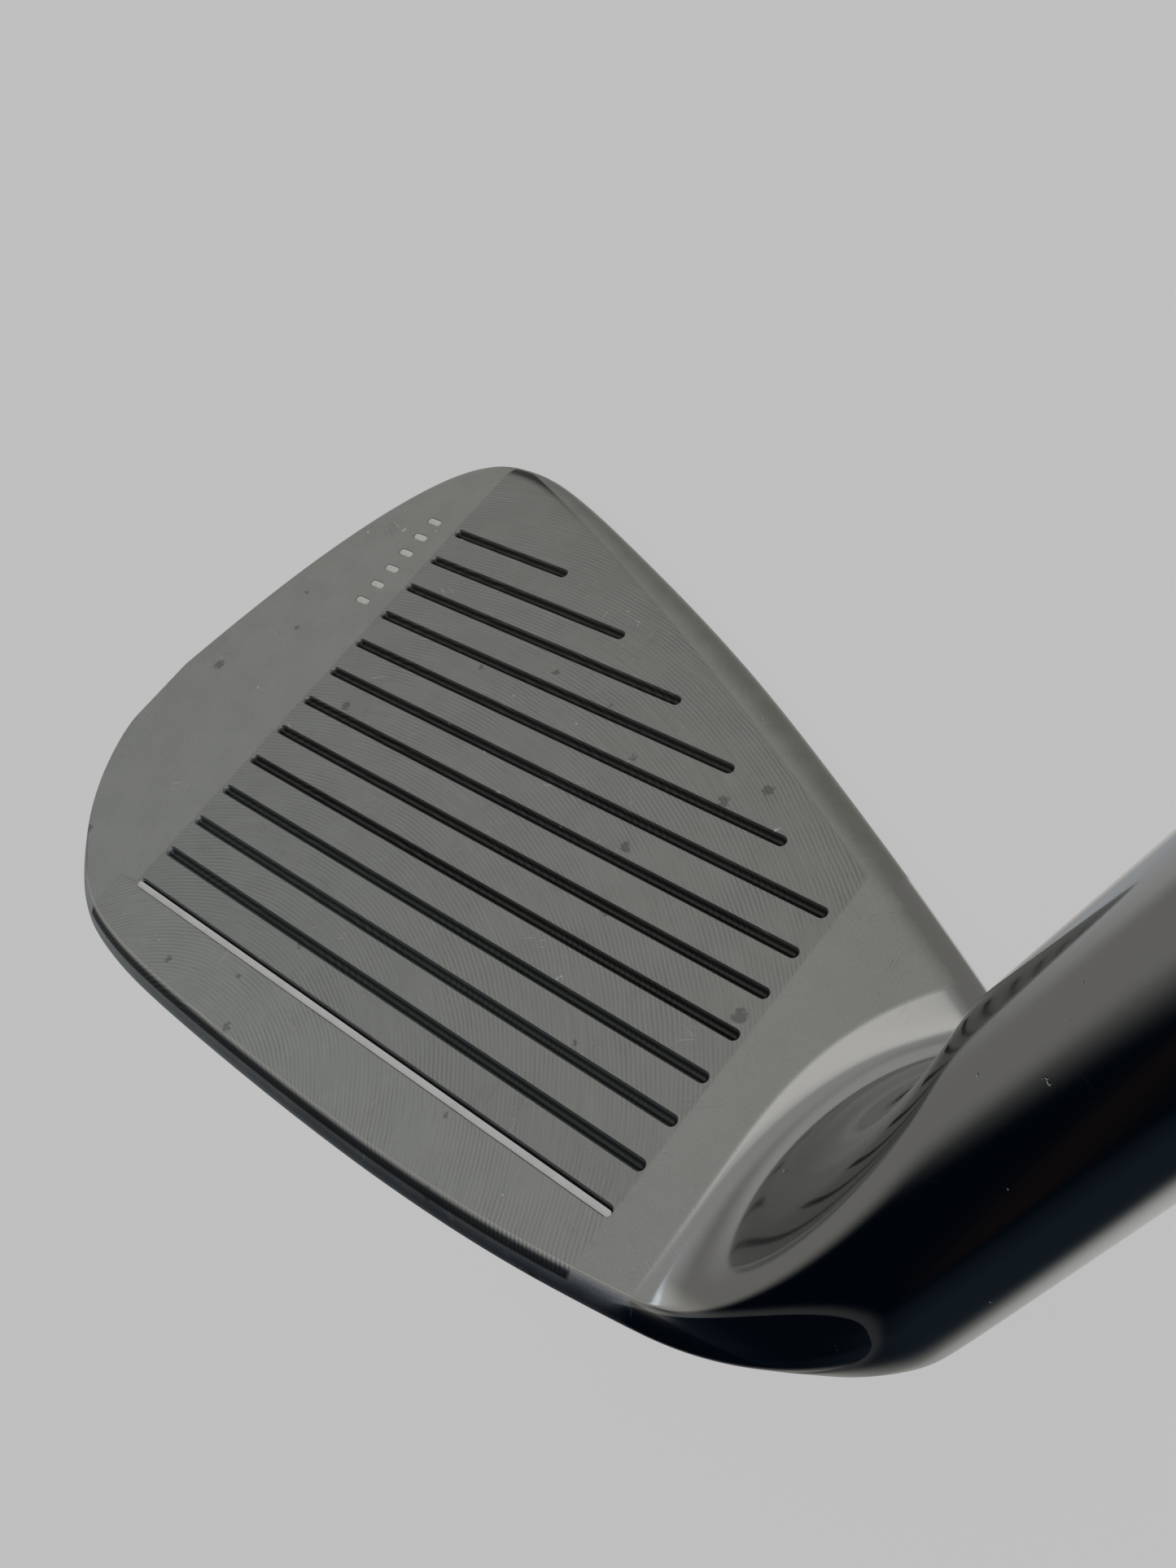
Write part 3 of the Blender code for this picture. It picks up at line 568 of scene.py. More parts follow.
def make_effects():
    """Build the shader groups that several materials share."""
    EFFECTS["grain"] = grain_group()
    EFFECTS["scratches"] = scratch_group()
    EFFECTS["specks"] = speck_group()
    EFFECTS["turning"] = turning_group()


def effect(graph, name, spot, **values):
    """Outputs of a shared effect at a place, with this material's own values."""
    return graph.group(EFFECTS[name], {"Vector": spot, **values})


def new_material(name, place):
    """A material, its graph, its shader and coordinates in millimetres in a frame."""
    material = bpy.data.materials.new(name)
    material.use_nodes = True
    graph = Graph(material.node_tree)
    shader = material.node_tree.nodes["Principled BSDF"]
    spot = graph.add("ShaderNodeTexCoord").outputs["Object"]
    back = place.inverted()
    mapping = graph.add("ShaderNodeMapping", {"Vector": spot})
    mapping.inputs["Scale"].default_value = (1000, 1000, 1000)
    mapping.inputs["Rotation"].default_value = back.to_euler("XYZ")
    mapping.inputs["Location"].default_value = back.translation * 1000
    return material, graph, shader, mapping.outputs[0]


def bump(graph, shader, height, depth):
    """Feed a height in units of depth to the shader's normal."""
    node = graph.add("ShaderNodeBump", {"Height": height, "Strength": 1.0, "Distance": depth})
    graph.feed(shader.inputs["Normal"], node.outputs[0])


def grey(value):
    """A neutral colour."""
    return (value, value, value, 1.0)


# ---------------------------------------------------------------- the forging's finish

def face_masks(graph, spot):
    """Where the head is satin, milled, blasted or polished, from places on its face, and where a
    highlight is painted along its leading edge.
    """
    u, v, w = graph.split(spot)
    rise = graph.over(graph.math("MAXIMUM", graph.minus(v, SATIN_FOOT), 0.0), SATIN_RISE)
    heel = graph.plus(SATIN_END, graph.times(graph.math("POWER", rise, 3.0), SATIN_FLARE))
    past_heel = graph.minus(u, heel)
    front = graph.step(w, -1.2, -0.2)
    soft = graph.mix(front, 3.0, 0.25)
    satin = graph.step(past_heel, soft, graph.times(soft, -1.0))
    over = graph.minus(v, graph.plus(graph.times(u, MILLED_SLOPE), MILLED_TOP))
    over = graph.plus(over, graph.times(graph.times(u, u), MILLED_BEND))
    below_top = graph.step(over, 0.12, -0.12)
    rolled = graph.times(graph.step(over, 0.9, 1.3), graph.step(u, 53.8, 54.3))
    satin = graph.times(satin, graph.minus(1.0, rolled))
    toe_side = graph.step(graph.plus(u, graph.step(v, 0.0, -0.4, 0.0, 2.0)), -0.32, -0.08)
    heel_end = graph.plus(graph.times(v, MILLED_LEAN), MILLED_END)
    heel_side = graph.step(graph.minus(u, heel_end), 0.15, -0.15)
    milled = graph.times(graph.times(toe_side, heel_side), below_top)
    on_front = graph.step(w, -0.6, -0.46)
    milled = graph.times(graph.times(milled, satin), on_front)
    facing = graph.add("ShaderNodeNewGeometry").outputs["Normal"]
    turned = graph.vector("DOT_PRODUCT", facing, FACE_FRAME.col[2].xyz).outputs["Value"]
    low_part = graph.step(v, 13.0, 8.0)
    # Painted highlight: a thin band low on the face, where it starts to roll into the leading edge.
    lip = graph.times(graph.step(turned, 0.995, 0.98), graph.step(w, -0.16, -0.1))
    lip = graph.times(graph.times(lip, low_part), graph.step(v, -1.0, -2.5))
    sole = graph.times(graph.step(w, -0.06, -0.16), graph.step(turned, 0.95, 0.9))
    sole = graph.times(graph.times(sole, low_part), satin)
    return {"u": u, "v": v, "w": w, "satin": satin, "milled": milled, "lip": lip, "sole": sole}


def heel_flat_masks(graph, spot):
    """The flat ground on the heel, and its eased rim, from the distance to its plane."""
    place, outward = heel_flat_plane()
    turn = FACE_FRAME.inverted() @ LYING
    local = turn @ Vector(place) * 1000
    away = graph.vector("SUBTRACT", spot, local).outputs[0]
    height = graph.vector("DOT_PRODUCT", away, turn.to_3x3() @ Vector(outward)).outputs["Value"]
    near = graph.step(graph.vector("LENGTH", away).outputs["Value"], *FLAT_REACH)
    flat = graph.times(graph.step(height, -0.03, -0.015), near)
    rim = graph.times(graph.step(height, -0.28, -0.05), near)
    return flat, graph.times(rim, graph.minus(1.0, flat))


def milling(graph, masks):
    """Fine arcs that the milling cutter leaves on the face: a height."""
    from_centre = graph.join(graph.minus(masks["u"], MILL_CENTRE[0]),
                             graph.minus(masks["v"], MILL_CENTRE[1]))
    distance = graph.vector("LENGTH", from_centre).outputs["Value"]
    x, y, _ = graph.split(from_centre)
    turn = graph.math("ARCTAN2", y, x)
    drawn = graph.join(distance, graph.times(turn, 1.2), 0.0)
    fine = graph.noise(drawn, 5.0, 3.0, 0.7)
    drift = graph.times(graph.noise(from_centre, 0.12, 2.0), 14.0)
    phase = graph.plus(graph.times(distance, math.tau / MILL_PITCH), drift)
    wave = graph.plus(graph.times(graph.math("SINE", phase), 0.5), 0.5)
    share = graph.step(graph.noise(from_centre, 0.18, 2.0), 0.3, 0.65)
    return graph.mix(graph.times(share, 0.55), fine, wave)


def forged_steel(settings):
    """Steel that is milled and blasted on the face and polished elsewhere, with a painted highlight
    along the leading edge and painted shade in the score lines.
    """
    material, graph, shader, spot = new_material("forged_steel", FACE_FRAME)
    masks = face_masks(graph, spot)
    arcs = milling(graph, masks)
    grain = effect(graph, "grain", spot, Scale=5.5)
    nicks = effect(graph, "specks", spot, Scale=0.6, Size=0.2, Share=0.12)[0]
    smudges = effect(graph, "specks", spot, Scale=0.45, Size=0.3, Share=0.22)[0]
    lines = effect(graph, "scratches", spot, Scale=1.1, Density=0.6)[0]
    lines = graph.times(lines, graph.mix(masks["satin"], 0.06, 1.0))
    low_face = graph.step(masks["v"], -0.2, -0.6)
    satin_tone = graph.mix(masks["milled"], 1.2, graph.mix(low_face, 1.02, 1.14))
    uneven = graph.mix(masks["milled"], grain["Height"], arcs)
    tone = graph.times(satin_tone, graph.plus(0.82, graph.times(uneven, 0.36)))
    tone = graph.times(tone, graph.mix(grain["Patches"], 0.96, 1.04))
    satin_colour = graph.vector("SCALE", tuple(settings.satin_colour))
    graph.feed(satin_colour.inputs["Scale"], tone)
    # Painted shade: the deep part of each score line is darkened to near black.
    groove_shade = graph.times(graph.step(masks["w"], -0.05, -0.24), masks["milled"])
    colour = graph.blend(masks["satin"], (*settings.steel_colour, 1), satin_colour.outputs[0])
    colour = graph.blend(masks["sole"], colour, SOLE_COLOUR)
    # Painted highlight along the leading edge.
    colour = graph.blend(masks["lip"], colour, LIP_HIGHLIGHT_COLOUR)
    # Painted shade inside the score lines.
    colour = graph.blend(graph.times(groove_shade, 0.85), colour, GROOVE_SHADE_COLOUR)
    on_satin = graph.times(masks["satin"], graph.minus(1.0, groove_shade))
    colour = graph.blend(graph.times(smudges, graph.times(on_satin, 0.5)), colour, SMUDGE_COLOUR)
    colour = graph.blend(graph.times(nicks, graph.times(on_satin, 0.8)), colour, NICK_COLOUR)
    colour = graph.blend(graph.times(lines, graph.times(on_satin, 0.35)), colour, SCRATCH_COLOUR)
    graph.feed(shader.inputs["Base Color"], colour)
    shader.inputs["Metallic"].default_value = 1.0
    polished = graph.plus(0.10, graph.times(lines, 0.12))
    rough = graph.mix(masks["satin"], polished, graph.mix(grain["Patches"], 0.40, 0.44))
    flat, rim = heel_flat_masks(graph, spot)
    rough = graph.mix(flat, rough, 0.2)
    rough = graph.mix(rim, rough, 0.5)
    graph.feed(shader.inputs["Roughness"], rough)
    relief = graph.mix(masks["milled"], graph.times(grain["Height"], 0.6), arcs)
    relief = graph.times(relief, masks["satin"])
    dents = graph.plus(graph.times(nicks, 0.9), graph.times(lines, 0.3))
    bump(graph, shader, graph.minus(relief, dents), RELIEF_DEPTH)
    return material


def paint(name, colour, place):
    """Matt paint in a cut, a little uneven and worn."""
    material, graph, shader, spot = new_material(name, place)
    grain = effect(graph, "grain", spot, Scale=6.0)
    worn = effect(graph, "specks", spot, Scale=0.8, Size=0.2, Share=0.3)[0]
    tinted = graph.blend(grain["Patches"], (*colour, 1), (*(part * 0.86 for part in colour), 1))
    tinted = graph.blend(graph.times(worn, 0.6), tinted, (0.25, 0.25, 0.24, 1))
    graph.feed(shader.inputs["Base Color"], tinted)
    graph.feed(shader.inputs["Roughness"], graph.mix(grain["Height"], 0.4, 0.6))
    bump(graph, shader, grain["Height"], 0.00002)
    return material


# ---------------------------------------------------------------- the other finishes

def chrome(settings):
    """Plated steel, with the faint rings of its polishing and a little dust."""
    material, graph, shader, spot = new_material("plated_steel", SHAFT_FRAME)
    rings = effect(graph, "turning", spot, Scale=2.5)[0]
    lines = effect(graph, "scratches", spot, Scale=0.8, Density=0.8)[0]
    dust = effect(graph, "specks", spot, Scale=0.6, Size=0.12, Share=0.3)[0]
    colour = graph.blend(graph.times(dust, 0.4), (*settings.chrome_colour, 1), grey(0.3))
    graph.feed(shader.inputs["Base Color"], colour)
    shader.inputs["Metallic"].default_value = 1.0
    rough = graph.plus(graph.mix(rings, 0.06, 0.16), graph.times(lines, 0.2))
    graph.feed(shader.inputs["Roughness"], rough)
    bump(graph, shader, rings, 0.000006)
    return material


def glossy_plastic(settings):
    """Polished black plastic with hairline scratches."""
    material, graph, shader, spot = new_material("ferrule_plastic", SHAFT_FRAME)
    rings = effect(graph, "turning", spot, Scale=4.0)[0]
    lines = effect(graph, "scratches", spot, Scale=1.4, Density=0.7)[0]
    grain = effect(graph, "grain", spot, Scale=3.0)
    base = (*settings.ferrule_colour, 1)
    colour = graph.blend(graph.times(lines, 0.3), base, grey(0.12))
    colour = graph.blend(graph.times(grain["Patches"], 0.3), colour, grey(0.02))
    graph.feed(shader.inputs["Base Color"], colour)
    graph.feed(shader.inputs["Roughness"], graph.mix(grain["Patches"], 0.14, 0.22))
    bump(graph, shader, rings, 0.000004)
    return material


def band_film(settings):
    """Printed film: a dark ground with two plain pale rings and fine metallic flakes."""
    material, graph, shader, spot = new_material("band_film", SHAFT_FRAME)
    height = graph.split(spot)[2]
    middle = (GRIP_MOUTH - BAND_BELOW_GRIP - BAND_LENGTH / 2) / MM
    off = graph.math("ABSOLUTE", graph.minus(height, middle))
    ring = graph.times(graph.step(off, 12.9, 13.0), graph.step(off, 14.6, 14.5))
    thin = graph.times(graph.step(off, 10.9, 11.0), graph.step(off, 11.5, 11.4))
    flakes = effect(graph, "specks", spot, Scale=3.0, Size=0.3, Share=0.3)[0]
    ground = graph.blend(graph.times(flakes, 0.5), (*settings.band_colour, 1), (0.12, 0.15, 0.2, 1))
    colour = graph.blend(graph.math("MAXIMUM", ring, thin), ground, grey(0.62))
    graph.feed(shader.inputs["Base Color"], colour)
    graph.feed(shader.inputs["Roughness"], graph.mix(flakes, 0.3, 0.2))
    bump(graph, shader, graph.math("MAXIMUM", ring, thin), 0.00001)
    return material


def rubber(name, settings):
    """Moulded rubber: fine grain, worn smoother and paler in patches, with a little dust."""
    material, graph, shader, spot = new_material(name, SHAFT_FRAME)
    grain = effect(graph, "grain", spot, Scale=5.0)
    dust = effect(graph, "specks", spot, Scale=0.9, Size=0.14, Share=0.3)[0]
    base = tuple(settings.rubber_colour)
    colour = graph.blend(grain["Patches"], (*base, 1), (*(part * 1.5 for part in base), 1))
    colour = graph.blend(graph.times(dust, 0.35), colour, grey(0.2))
    graph.feed(shader.inputs["Base Color"], colour)
    graph.feed(shader.inputs["Roughness"], graph.mix(grain["Patches"], 0.72, 0.55))
    bump(graph, shader, grain["Height"], 0.00005)
    return material


def hidden_finish(name, colour, other, metallic, scale):
    """Finish of a piece that is glued or pressed inside others."""
    material, graph, shader, spot = new_material(name, SHAFT_FRAME)
    grain = effect(graph, "grain", spot, Scale=scale)
    graph.feed(shader.inputs["Base Color"], graph.blend(grain["Patches"], colour, other))
    shader.inputs["Metallic"].default_value = metallic
    graph.feed(shader.inputs["Roughness"], graph.mix(grain["Height"], 0.3, 0.7))
    bump(graph, shader, grain["Height"], 0.00004)
    return material


# Inner pieces: solid, finish, its colour, the colour of its patches, metallic, scale of its grain.
INNER_FINISHES = (
    ("hosel_bond", "epoxy", (0.42, 0.36, 0.2, 1), (0.5, 0.45, 0.3, 1), 0.0, 3.0),
    ("tip_weight", "brass", (0.62, 0.44, 0.17, 1), (0.5, 0.34, 0.13, 1), 1.0, 4.0),
    ("grip_tape", "tape", (0.66, 0.6, 0.46, 1), (0.58, 0.52, 0.4, 1), 0.0, 2.0),
)


# ---------------------------------------------------------------- head: outline and sections

def curve_through(points):
    """Points along a smooth curve through the given ones, in metres."""
    knots = np.array(points) * MM
    knots = np.vstack((2 * knots[0] - knots[1], knots, 2 * knots[-1] - knots[-2]))
    dense = []
    for before, start, end, after in zip(knots, knots[1:], knots[2:], knots[3:]):
        for share in np.arange(OUTLINE_STEPS) / OUTLINE_STEPS:
            line = end - before
            bend = 2 * before - 5 * start + 4 * end - after
            twist = 3 * start - before - 3 * end + after
            dense.append(start + 0.5 * (line * share + bend * share ** 2 + twist * share ** 3))
    return np.array(dense + [knots[-2]])


TOP_CURVE = curve_through((TOE_TIP,) + TOP_OUTLINE)
EDGE_CURVE = curve_through((TOE_TIP,) + EDGE_OUTLINE)


def top_height(u):
    """Height of the top line on the face plane."""
    return np.interp(u, TOP_CURVE[:, 0], TOP_CURVE[:, 1])


def edge_height(u):
    """Height at which the flat face ends above the leading edge."""
    return np.interp(u, EDGE_CURVE[:, 0], EDGE_CURVE[:, 1])


def ease(share):
    """Smooth step from 0 to 1."""
    share = np.clip(share, 0.0, 1.0)
    return share * share * (3 - 2 * share)


def level(angle):
    """Direction on a section of a line that rises from level by an angle, towards the back."""
    along, up = math.cos(angle), math.sin(angle)
    return np.array((along * math.sin(LOFT) + up * math.cos(LOFT),
                     up * math.sin(LOFT) - along * math.cos(LOFT)))


def toe_fullness(u):
    """0 at the toe's tip, 1 where the blade has its full thickness."""
    share = min(1.0, (u - TOE_TIP[0] * MM) / TOE_ROUNDING)
    return math.sqrt(1 - (1 - share) ** 2)


def corners(u):
    """Corners of the blade's section at u: place, rounding, steps in it, steps to the next."""
    full = toe_fullness(u)
    top = top_height(u)
    tall = min(1.0, (top - edge_height(u)) / FULL_HEIGHT)
    radius = EDGE_RADIUS * full
    wedge = math.pi / 2 - LOFT + BOUNCE
    edge = np.array((edge_height(u) - radius / math.tan(wedge / 2), 0.0))
    width = SOLE_WIDTH * (TOE_SOLE_SHARE + (1 - TOE_SOLE_SHARE) * full)
    sole = edge + level(-BOUNCE) * width * BOUNCE_SHARE
    trailing = sole + level(TRAILING_RISE) * width * RELIEF_SHARE
    thickness = TOP_LINE_WIDTH * (TOE_TOP_SHARE + (1 - TOE_TOP_SHARE) * full)
    back = (top - TOP_LINE_FALL * full, -thickness)
    muscle = trailing + np.array((MUSCLE_HEIGHT, MUSCLE_LEAN)) * tall
    fade = (muscle[0] + MUSCLE_FADE * tall, thickness / TOP_LINE_WIDTH * -UPPER_THICKNESS)
    centre = np.array((edge_height(u), -radius))
    past = math.pi - wedge - LIP_TURN
    middle = LIP_TURN + past / 2
    nose = centre + radius / math.cos(past / 2) * np.array((-math.sin(middle), math.cos(middle)))
    lip = (edge_height(u) - radius * math.tan(LIP_TURN / 2), 0.0)
    return ((nose, radius, 5, 2),
            (lip, LIP_RADIUS * full, 2, FACE_STEPS),
            ((top, 0.0), TOP_RADIUS * full, 3, SIDE_STEPS),
            (back, TOP_BACK_RADIUS * full, 3, SIDE_STEPS),
            (fade, FADE_RADIUS * full, 3, SIDE_STEPS),
            (muscle, MUSCLE_RADIUS * full, 3, SIDE_STEPS),
            (trailing, TRAILING_RADIUS * full, 3, SIDE_STEPS),
            (sole, SOLE_RADIUS * full, 4, SIDE_STEPS))


def crowded(steps):
    """Shares along a straight side, closer together near its ends."""
    return [(1 - math.cos(math.pi * step / steps)) / 2 for step in range(1, steps)]


def rounded(shape):
    """Points around a polygon with rounded corners."""
    places = [np.array(corner[0]) for corner in shape]
    count = len(places)
    sides = [np.linalg.norm(places[(i + 1) % count] - places[i]) for i in range(count)]
    towards = []
    angles = []
    reaches = []
    for i, corner in enumerate(shape):
        back = (places[i - 1] - places[i]) / sides[i - 1]
        ahead = (places[(i + 1) % count] - places[i]) / sides[i]
        angle = math.acos(np.clip(back @ ahead, -1.0, 1.0))
        towards.append((back, ahead))
        angles.append(angle)
        reaches.append(corner[1] / math.tan(angle / 2))
    arcs = []
    for i, corner in enumerate(shape):
        reach = reaches[i]
        limit_back = sides[i - 1] * reach / (reach + reaches[i - 1] + 1e-9)
        limit_ahead = sides[i] * reach / (reach + reaches[(i + 1) % count] + 1e-9)
        reach = 0.999 * min(reach, limit_back, limit_ahead)
        back, ahead = towards[i]
        radius = reach * math.tan(angles[i] / 2)
        inwards = (back + ahead) / np.linalg.norm(back + ahead)
        centre = places[i] + inwards * radius / math.sin(angles[i] / 2)
        start = places[i] + back * reach - centre
        end = places[i] + ahead * reach - centre
        sweep = math.atan2(start[0] * end[1] - start[1] * end[0], start @ end)
        turns = sweep * np.linspace(0.0, 1.0, corner[2] + 1)
        arcs.append([centre + np.array((start[0] * math.cos(turn) - start[1] * math.sin(turn),
                                        start[0] * math.sin(turn) + start[1] * math.cos(turn)))
                     for turn in turns])
    points = []
    for i, corner in enumerate(shape):
        points.extend(arcs[i])
        following = arcs[(i + 1) % count][0]
        points.extend(arcs[i][-1] + (following - arcs[i][-1]) * share for share in crowded(corner[3]))
    return np.array(points)


def blade_ring(u):
    """Section of the blade at u, at address, with the heel end leaning to the crotch."""
    flat = rounded(corners(u))
    late = ease((u / BLADE_END - LEAN_START) / (1 - LEAN_START))
    rise = np.clip((flat[:, 0] - LEAN_FOOT) / LEAN_REACH, 0.0, LEAN_MOST)
    lean = HEEL_LEAN * late * rise ** LEAN_POWER
    slope = np.gradient(TOP_CURVE[:, 1], TOP_CURVE[:, 0])[-1]
    high = flat[:, 0] + lean * slope * ease((flat[:, 0] - FOLLOW_FOOT) / FOLLOW_REACH)
    ring = (FACE_ORIGIN + np.outer(u + lean, ALONG_FACE) + np.outer(high, UP_FACE)
            + np.outer(flat[:, 1], OUT_OF_FACE))
    ring[:, 2] = np.maximum(ring[:, 2], 0.0)
    return ring


def hosel_angles(shape):
    """Angle around the hosel, from the crotch, for each point of a section."""
    angles = []
    count = len(shape)
    for i, corner in enumerate(shape):
        here = CORNER_ANGLES[i]
        before = CORNER_ANGLES[i - 1] + (360 if i == 0 else 0)
        after = CORNER_ANGLES[(i + 1) % count] - (360 if i == count - 1 else 0)
        first = here + (before - here) * CORNER_SHARE
        last = here + (after - here) * CORNER_SHARE
        following = after + (here - after) * CORNER_SHARE
        angles.extend(np.linspace(first, last, corner[2] + 1))
        angles.extend(last + (following - last) * step / corner[3] for step in range(1, corner[3]))
    return np.radians(angles)


def hosel_ring(angles, height, radius=HOSEL_RADIUS):
    """Ring around the shaft's axis, at a height up the shaft for each point."""
    height = np.broadcast_to(height, angles.shape)
    return (SHAFT_FOOT + np.outer(height, UP_SHAFT)
            + radius * (np.outer(np.cos(angles), TO_CROTCH) + np.outer(np.sin(angles), TO_TARGET)))


def blend_rings():
    """Rings from the blade's heel end to the hosel, each point along its own smooth curve."""
    start = blade_ring(BLADE_END)
    heading = start - blade_ring(BLADE_END - MM)
    heading /= np.linalg.norm(heading, axis=1)[:, None]
    angles = hosel_angles(corners(BLADE_END))
    height = BLEND_MIDDLE + BLEND_SLANT * np.cos(angles)
    end = hosel_ring(angles, height)
    pull = BLEND_PULL * np.linalg.norm(end - start, axis=1)[:, None]
    aside = (angles - COVE_ANGLE) / COVE_SPREAD
    early = pull * (1 - COVE_DEPTH * np.exp(-aside ** 2))[:, None]
    rings = []
    for share in np.linspace(0.0, 1.0, CAGE_BLEND_RINGS + 1)[1:]:
        near = (2 * share ** 3 - 3 * share ** 2 + 1) * start
        leave = (share ** 3 - 2 * share ** 2 + share) * early * heading
        far = (3 * share ** 2 - 2 * share ** 3) * end
        arrive = (share ** 3 - share ** 2) * pull * UP_SHAFT
        rings.append(near + leave + far + arrive)
    square = BLEND_MIDDLE + BLEND_SLANT + BLEND_RUN_OUT
    for share in (0.5, 1.0):
        rings.append(hosel_ring(angles, height * (1 - share) + square * share))
    for below in (20 * MM, 1 * MM, HOSEL_CHAMFER):
        rings.append(hosel_ring(angles, HOSEL_TOP - below))
    rings.append(hosel_ring(angles, HOSEL_TOP, HOSEL_RADIUS - HOSEL_CHAMFER))
    rings.append(hosel_ring(angles, HOSEL_TOP, HOSEL_RADIUS - 3 * HOSEL_CHAMFER))
    return rings


def head_cage():
    """Closed cage through all rings of the head, from the toe's tip to the top of the hosel."""
    tip = TOE_TIP[0] * MM
    toe_end = tip + TOE_ROUNDING + TOE_RUN_OUT
    angles = np.linspace(FIRST_TOE_ANGLE, math.pi / 2, TOE_RINGS)
    toe = tip + (toe_end - tip) * (1 - np.cos(angles))
    blade = np.linspace(toe_end, BLADE_END, BLADE_RINGS + 1)[1:]
    rings = [blade_ring(u) for u in (*toe, *blade)] + blend_rings()
    return grid_mesh("head_cage", rings, closed_ends=True)


# ---------------------------------------------------------------- head: cuts

def slot_rings(length, inset, sections):
    """Rings of a round-ended bar: for each half width and height, an outline whose round ends
    turn about points that stand the inset inside the bar's length."""
    rings = []
    turns = np.linspace(-math.pi / 2, math.pi / 2, SLOT_POINTS)
    for half, height in sections:
        right = [(length - inset + half * math.cos(turn), half * math.sin(turn), height)
                 for turn in turns]
        left = [(inset - half * math.cos(turn), -half * math.sin(turn), height) for turn in turns]
        rings.append(right + left)
    return rings


def groove_cutter(length, width, depth):
    """Cutter of one round-ended groove: a broken edge, sloping walls and a rounded floor."""
    half = width / 2
    sections = ((half * 1.4, 0.2 * MM), (half * 0.98, -0.02 * MM), (half * 0.92, -0.06 * MM),
                (half * 0.4, -depth * 0.82), (half * 0.26, -depth * 0.96), (half * 0.1, -depth))
    return grid_mesh("groove_cutter", slot_rings(length, half, sections), True)


def groove_row_tree():
    """Geometry tree that repeats a groove cutter up the face and shortens each one."""
    tree = bpy.data.node_groups.new("groove_rows", "GeometryNodeTree")
    face = tree.interface
    for label, kind in (("Geometry", "NodeSocketGeometry"), ("Groove", "NodeSocketObject"),
                        ("Pitch", FLOAT_SOCKET), ("Middle", FLOAT_SOCKET),
                        ("Material", "NodeSocketMaterial")):
        face.new_socket(label, in_out="INPUT", socket_type=kind)
    face.new_socket("Geometry", in_out="OUTPUT", socket_type="NodeSocketGeometry")
    graph = Graph(tree)
    given = graph.add("NodeGroupInput").outputs
    number = graph.add("GeometryNodeInputIndex").outputs[0]
    rows = graph.add("GeometryNodeSetPosition", {
        "Geometry": given["Geometry"],
        "Offset": graph.join(0.0, graph.times(number, given["Pitch"]), 0.0)})
    groove = graph.add("GeometryNodeObjectInfo", {"Object": given["Groove"]})
    placed = graph.add("GeometryNodeInstanceOnPoints", {
        "Points": rows.outputs[0], "Instance": groove.outputs["Geometry"]})
    solid = graph.add("GeometryNodeRealizeInstances", {0: placed.outputs[0]})
    spot = graph.split(graph.add("GeometryNodeInputPosition").outputs[0])
    short = graph.add("GeometryNodeInputNamedAttribute", {"Name": "shorter"}, data_type="FLOAT")
    moved = graph.add("GeometryNodeSetPosition", {
        "Geometry": solid.outputs[0],
        "Selection": graph.math("GREATER_THAN", spot[0], given["Middle"]),
        "Offset": graph.join(graph.times(short.outputs[0], -1.0))})
    dressed = graph.add("GeometryNodeSetMaterial", {"Geometry": moved.outputs[0],
                                                    "Material": given["Material"]})
    graph.feed(graph.add("NodeGroupOutput").inputs[0], dressed.outputs[0])
    return tree


def line_end(v):
    """How far the score line at height v runs before the top line comes too close."""
    peak = np.argmax(TOP_CURVE[:, 1])
    rising = TOP_CURVE[peak:][::-1]
    return min(LINE_LENGTH, np.interp(v + LINE_TOP_GAP, rising[:, 1], rising[:, 0]))


def line_cutters(settings, material):
    """All score-line cutters as one object on the face."""
    seeds = bpy.data.meshes.new("line_seeds")
    seeds.from_pydata([(0.0, 0.0, 0.0)] * settings.line_count, [], [])
    shorter = seeds.attributes.new("shorter", "FLOAT", "POINT")
    for number, entry in enumerate(shorter.data):
        entry.value = LINE_LENGTH - line_end(number * settings.line_pitch)
    groove = add_object("groove", groove_cutter(LINE_LENGTH, settings.line_width, settings.line_depth))
    mesh = run_tree(add_object("line_seeds", seeds), groove_row_tree(), {
        "Groove": groove, "Pitch": settings.line_pitch, "Middle": LINE_LENGTH / 2,
        "Material": material})
    bpy.data.objects.remove(groove, do_unlink=True)
    return mesh


def mark_place(number):
    """Where a bar of the toe mark starts on the face."""
    return FACE_FRAME @ Matrix.Translation((MARK_U - MARK_LENGTH / 2, MARK_V + number * MARK_PITCH, 0.0))


def mark_cutter():
    """Pocket of one bar of the toe mark."""
    sections = ((MARK_WIDTH * 0.55, MARK_DEPTH), (MARK_WIDTH * 0.5, -0.02 * MM),
                (MARK_WIDTH * 0.49, -MARK_DEPTH))
    return grid_mesh("mark_pocket", slot_rings(MARK_LENGTH, MARK_WIDTH / 2, sections), True)


def bore_cutter():
    """Blind bore for the shaft, in the shaft's frame."""
    turns = np.arange(TURN_STEPS) * math.tau / TURN_STEPS
    rings = [[(BORE_RADIUS * math.cos(turn), BORE_RADIUS * math.sin(turn), height) for turn in turns]
             for height in (BORE_BOTTOM, HOSEL_TOP + 5 * MM)]
    return grid_mesh("bore", rings, True)


def heel_flat_plane():
    """Middle and outward direction of the flat on the target side of the heel, at address."""
    around = math.cos(FLAT_TURN) * TO_TARGET - math.sin(FLAT_TURN) * TO_CROTCH
    outward = math.cos(FLAT_TIP) * around - math.sin(FLAT_TIP) * UP_SHAFT
    return SHAFT_FOOT + FLAT_HEIGHT * UP_SHAFT + FLAT_STANDOFF * around, outward


def heel_flat_cutter():
    """Block that grinds the flat on the heel, at address."""
    place, outward = heel_flat_plane()
    bm = bmesh.new()
    bmesh.ops.create_cube(bm, size=FLAT_CUTTER)
    turn = Vector(outward).to_track_quat("Z", "X").to_matrix().to_4x4()
    bm.transform(Matrix.Translation(Vector(place + outward * FLAT_CUTTER / 2)) @ turn)
    return mesh_from("heel_flat", bm)


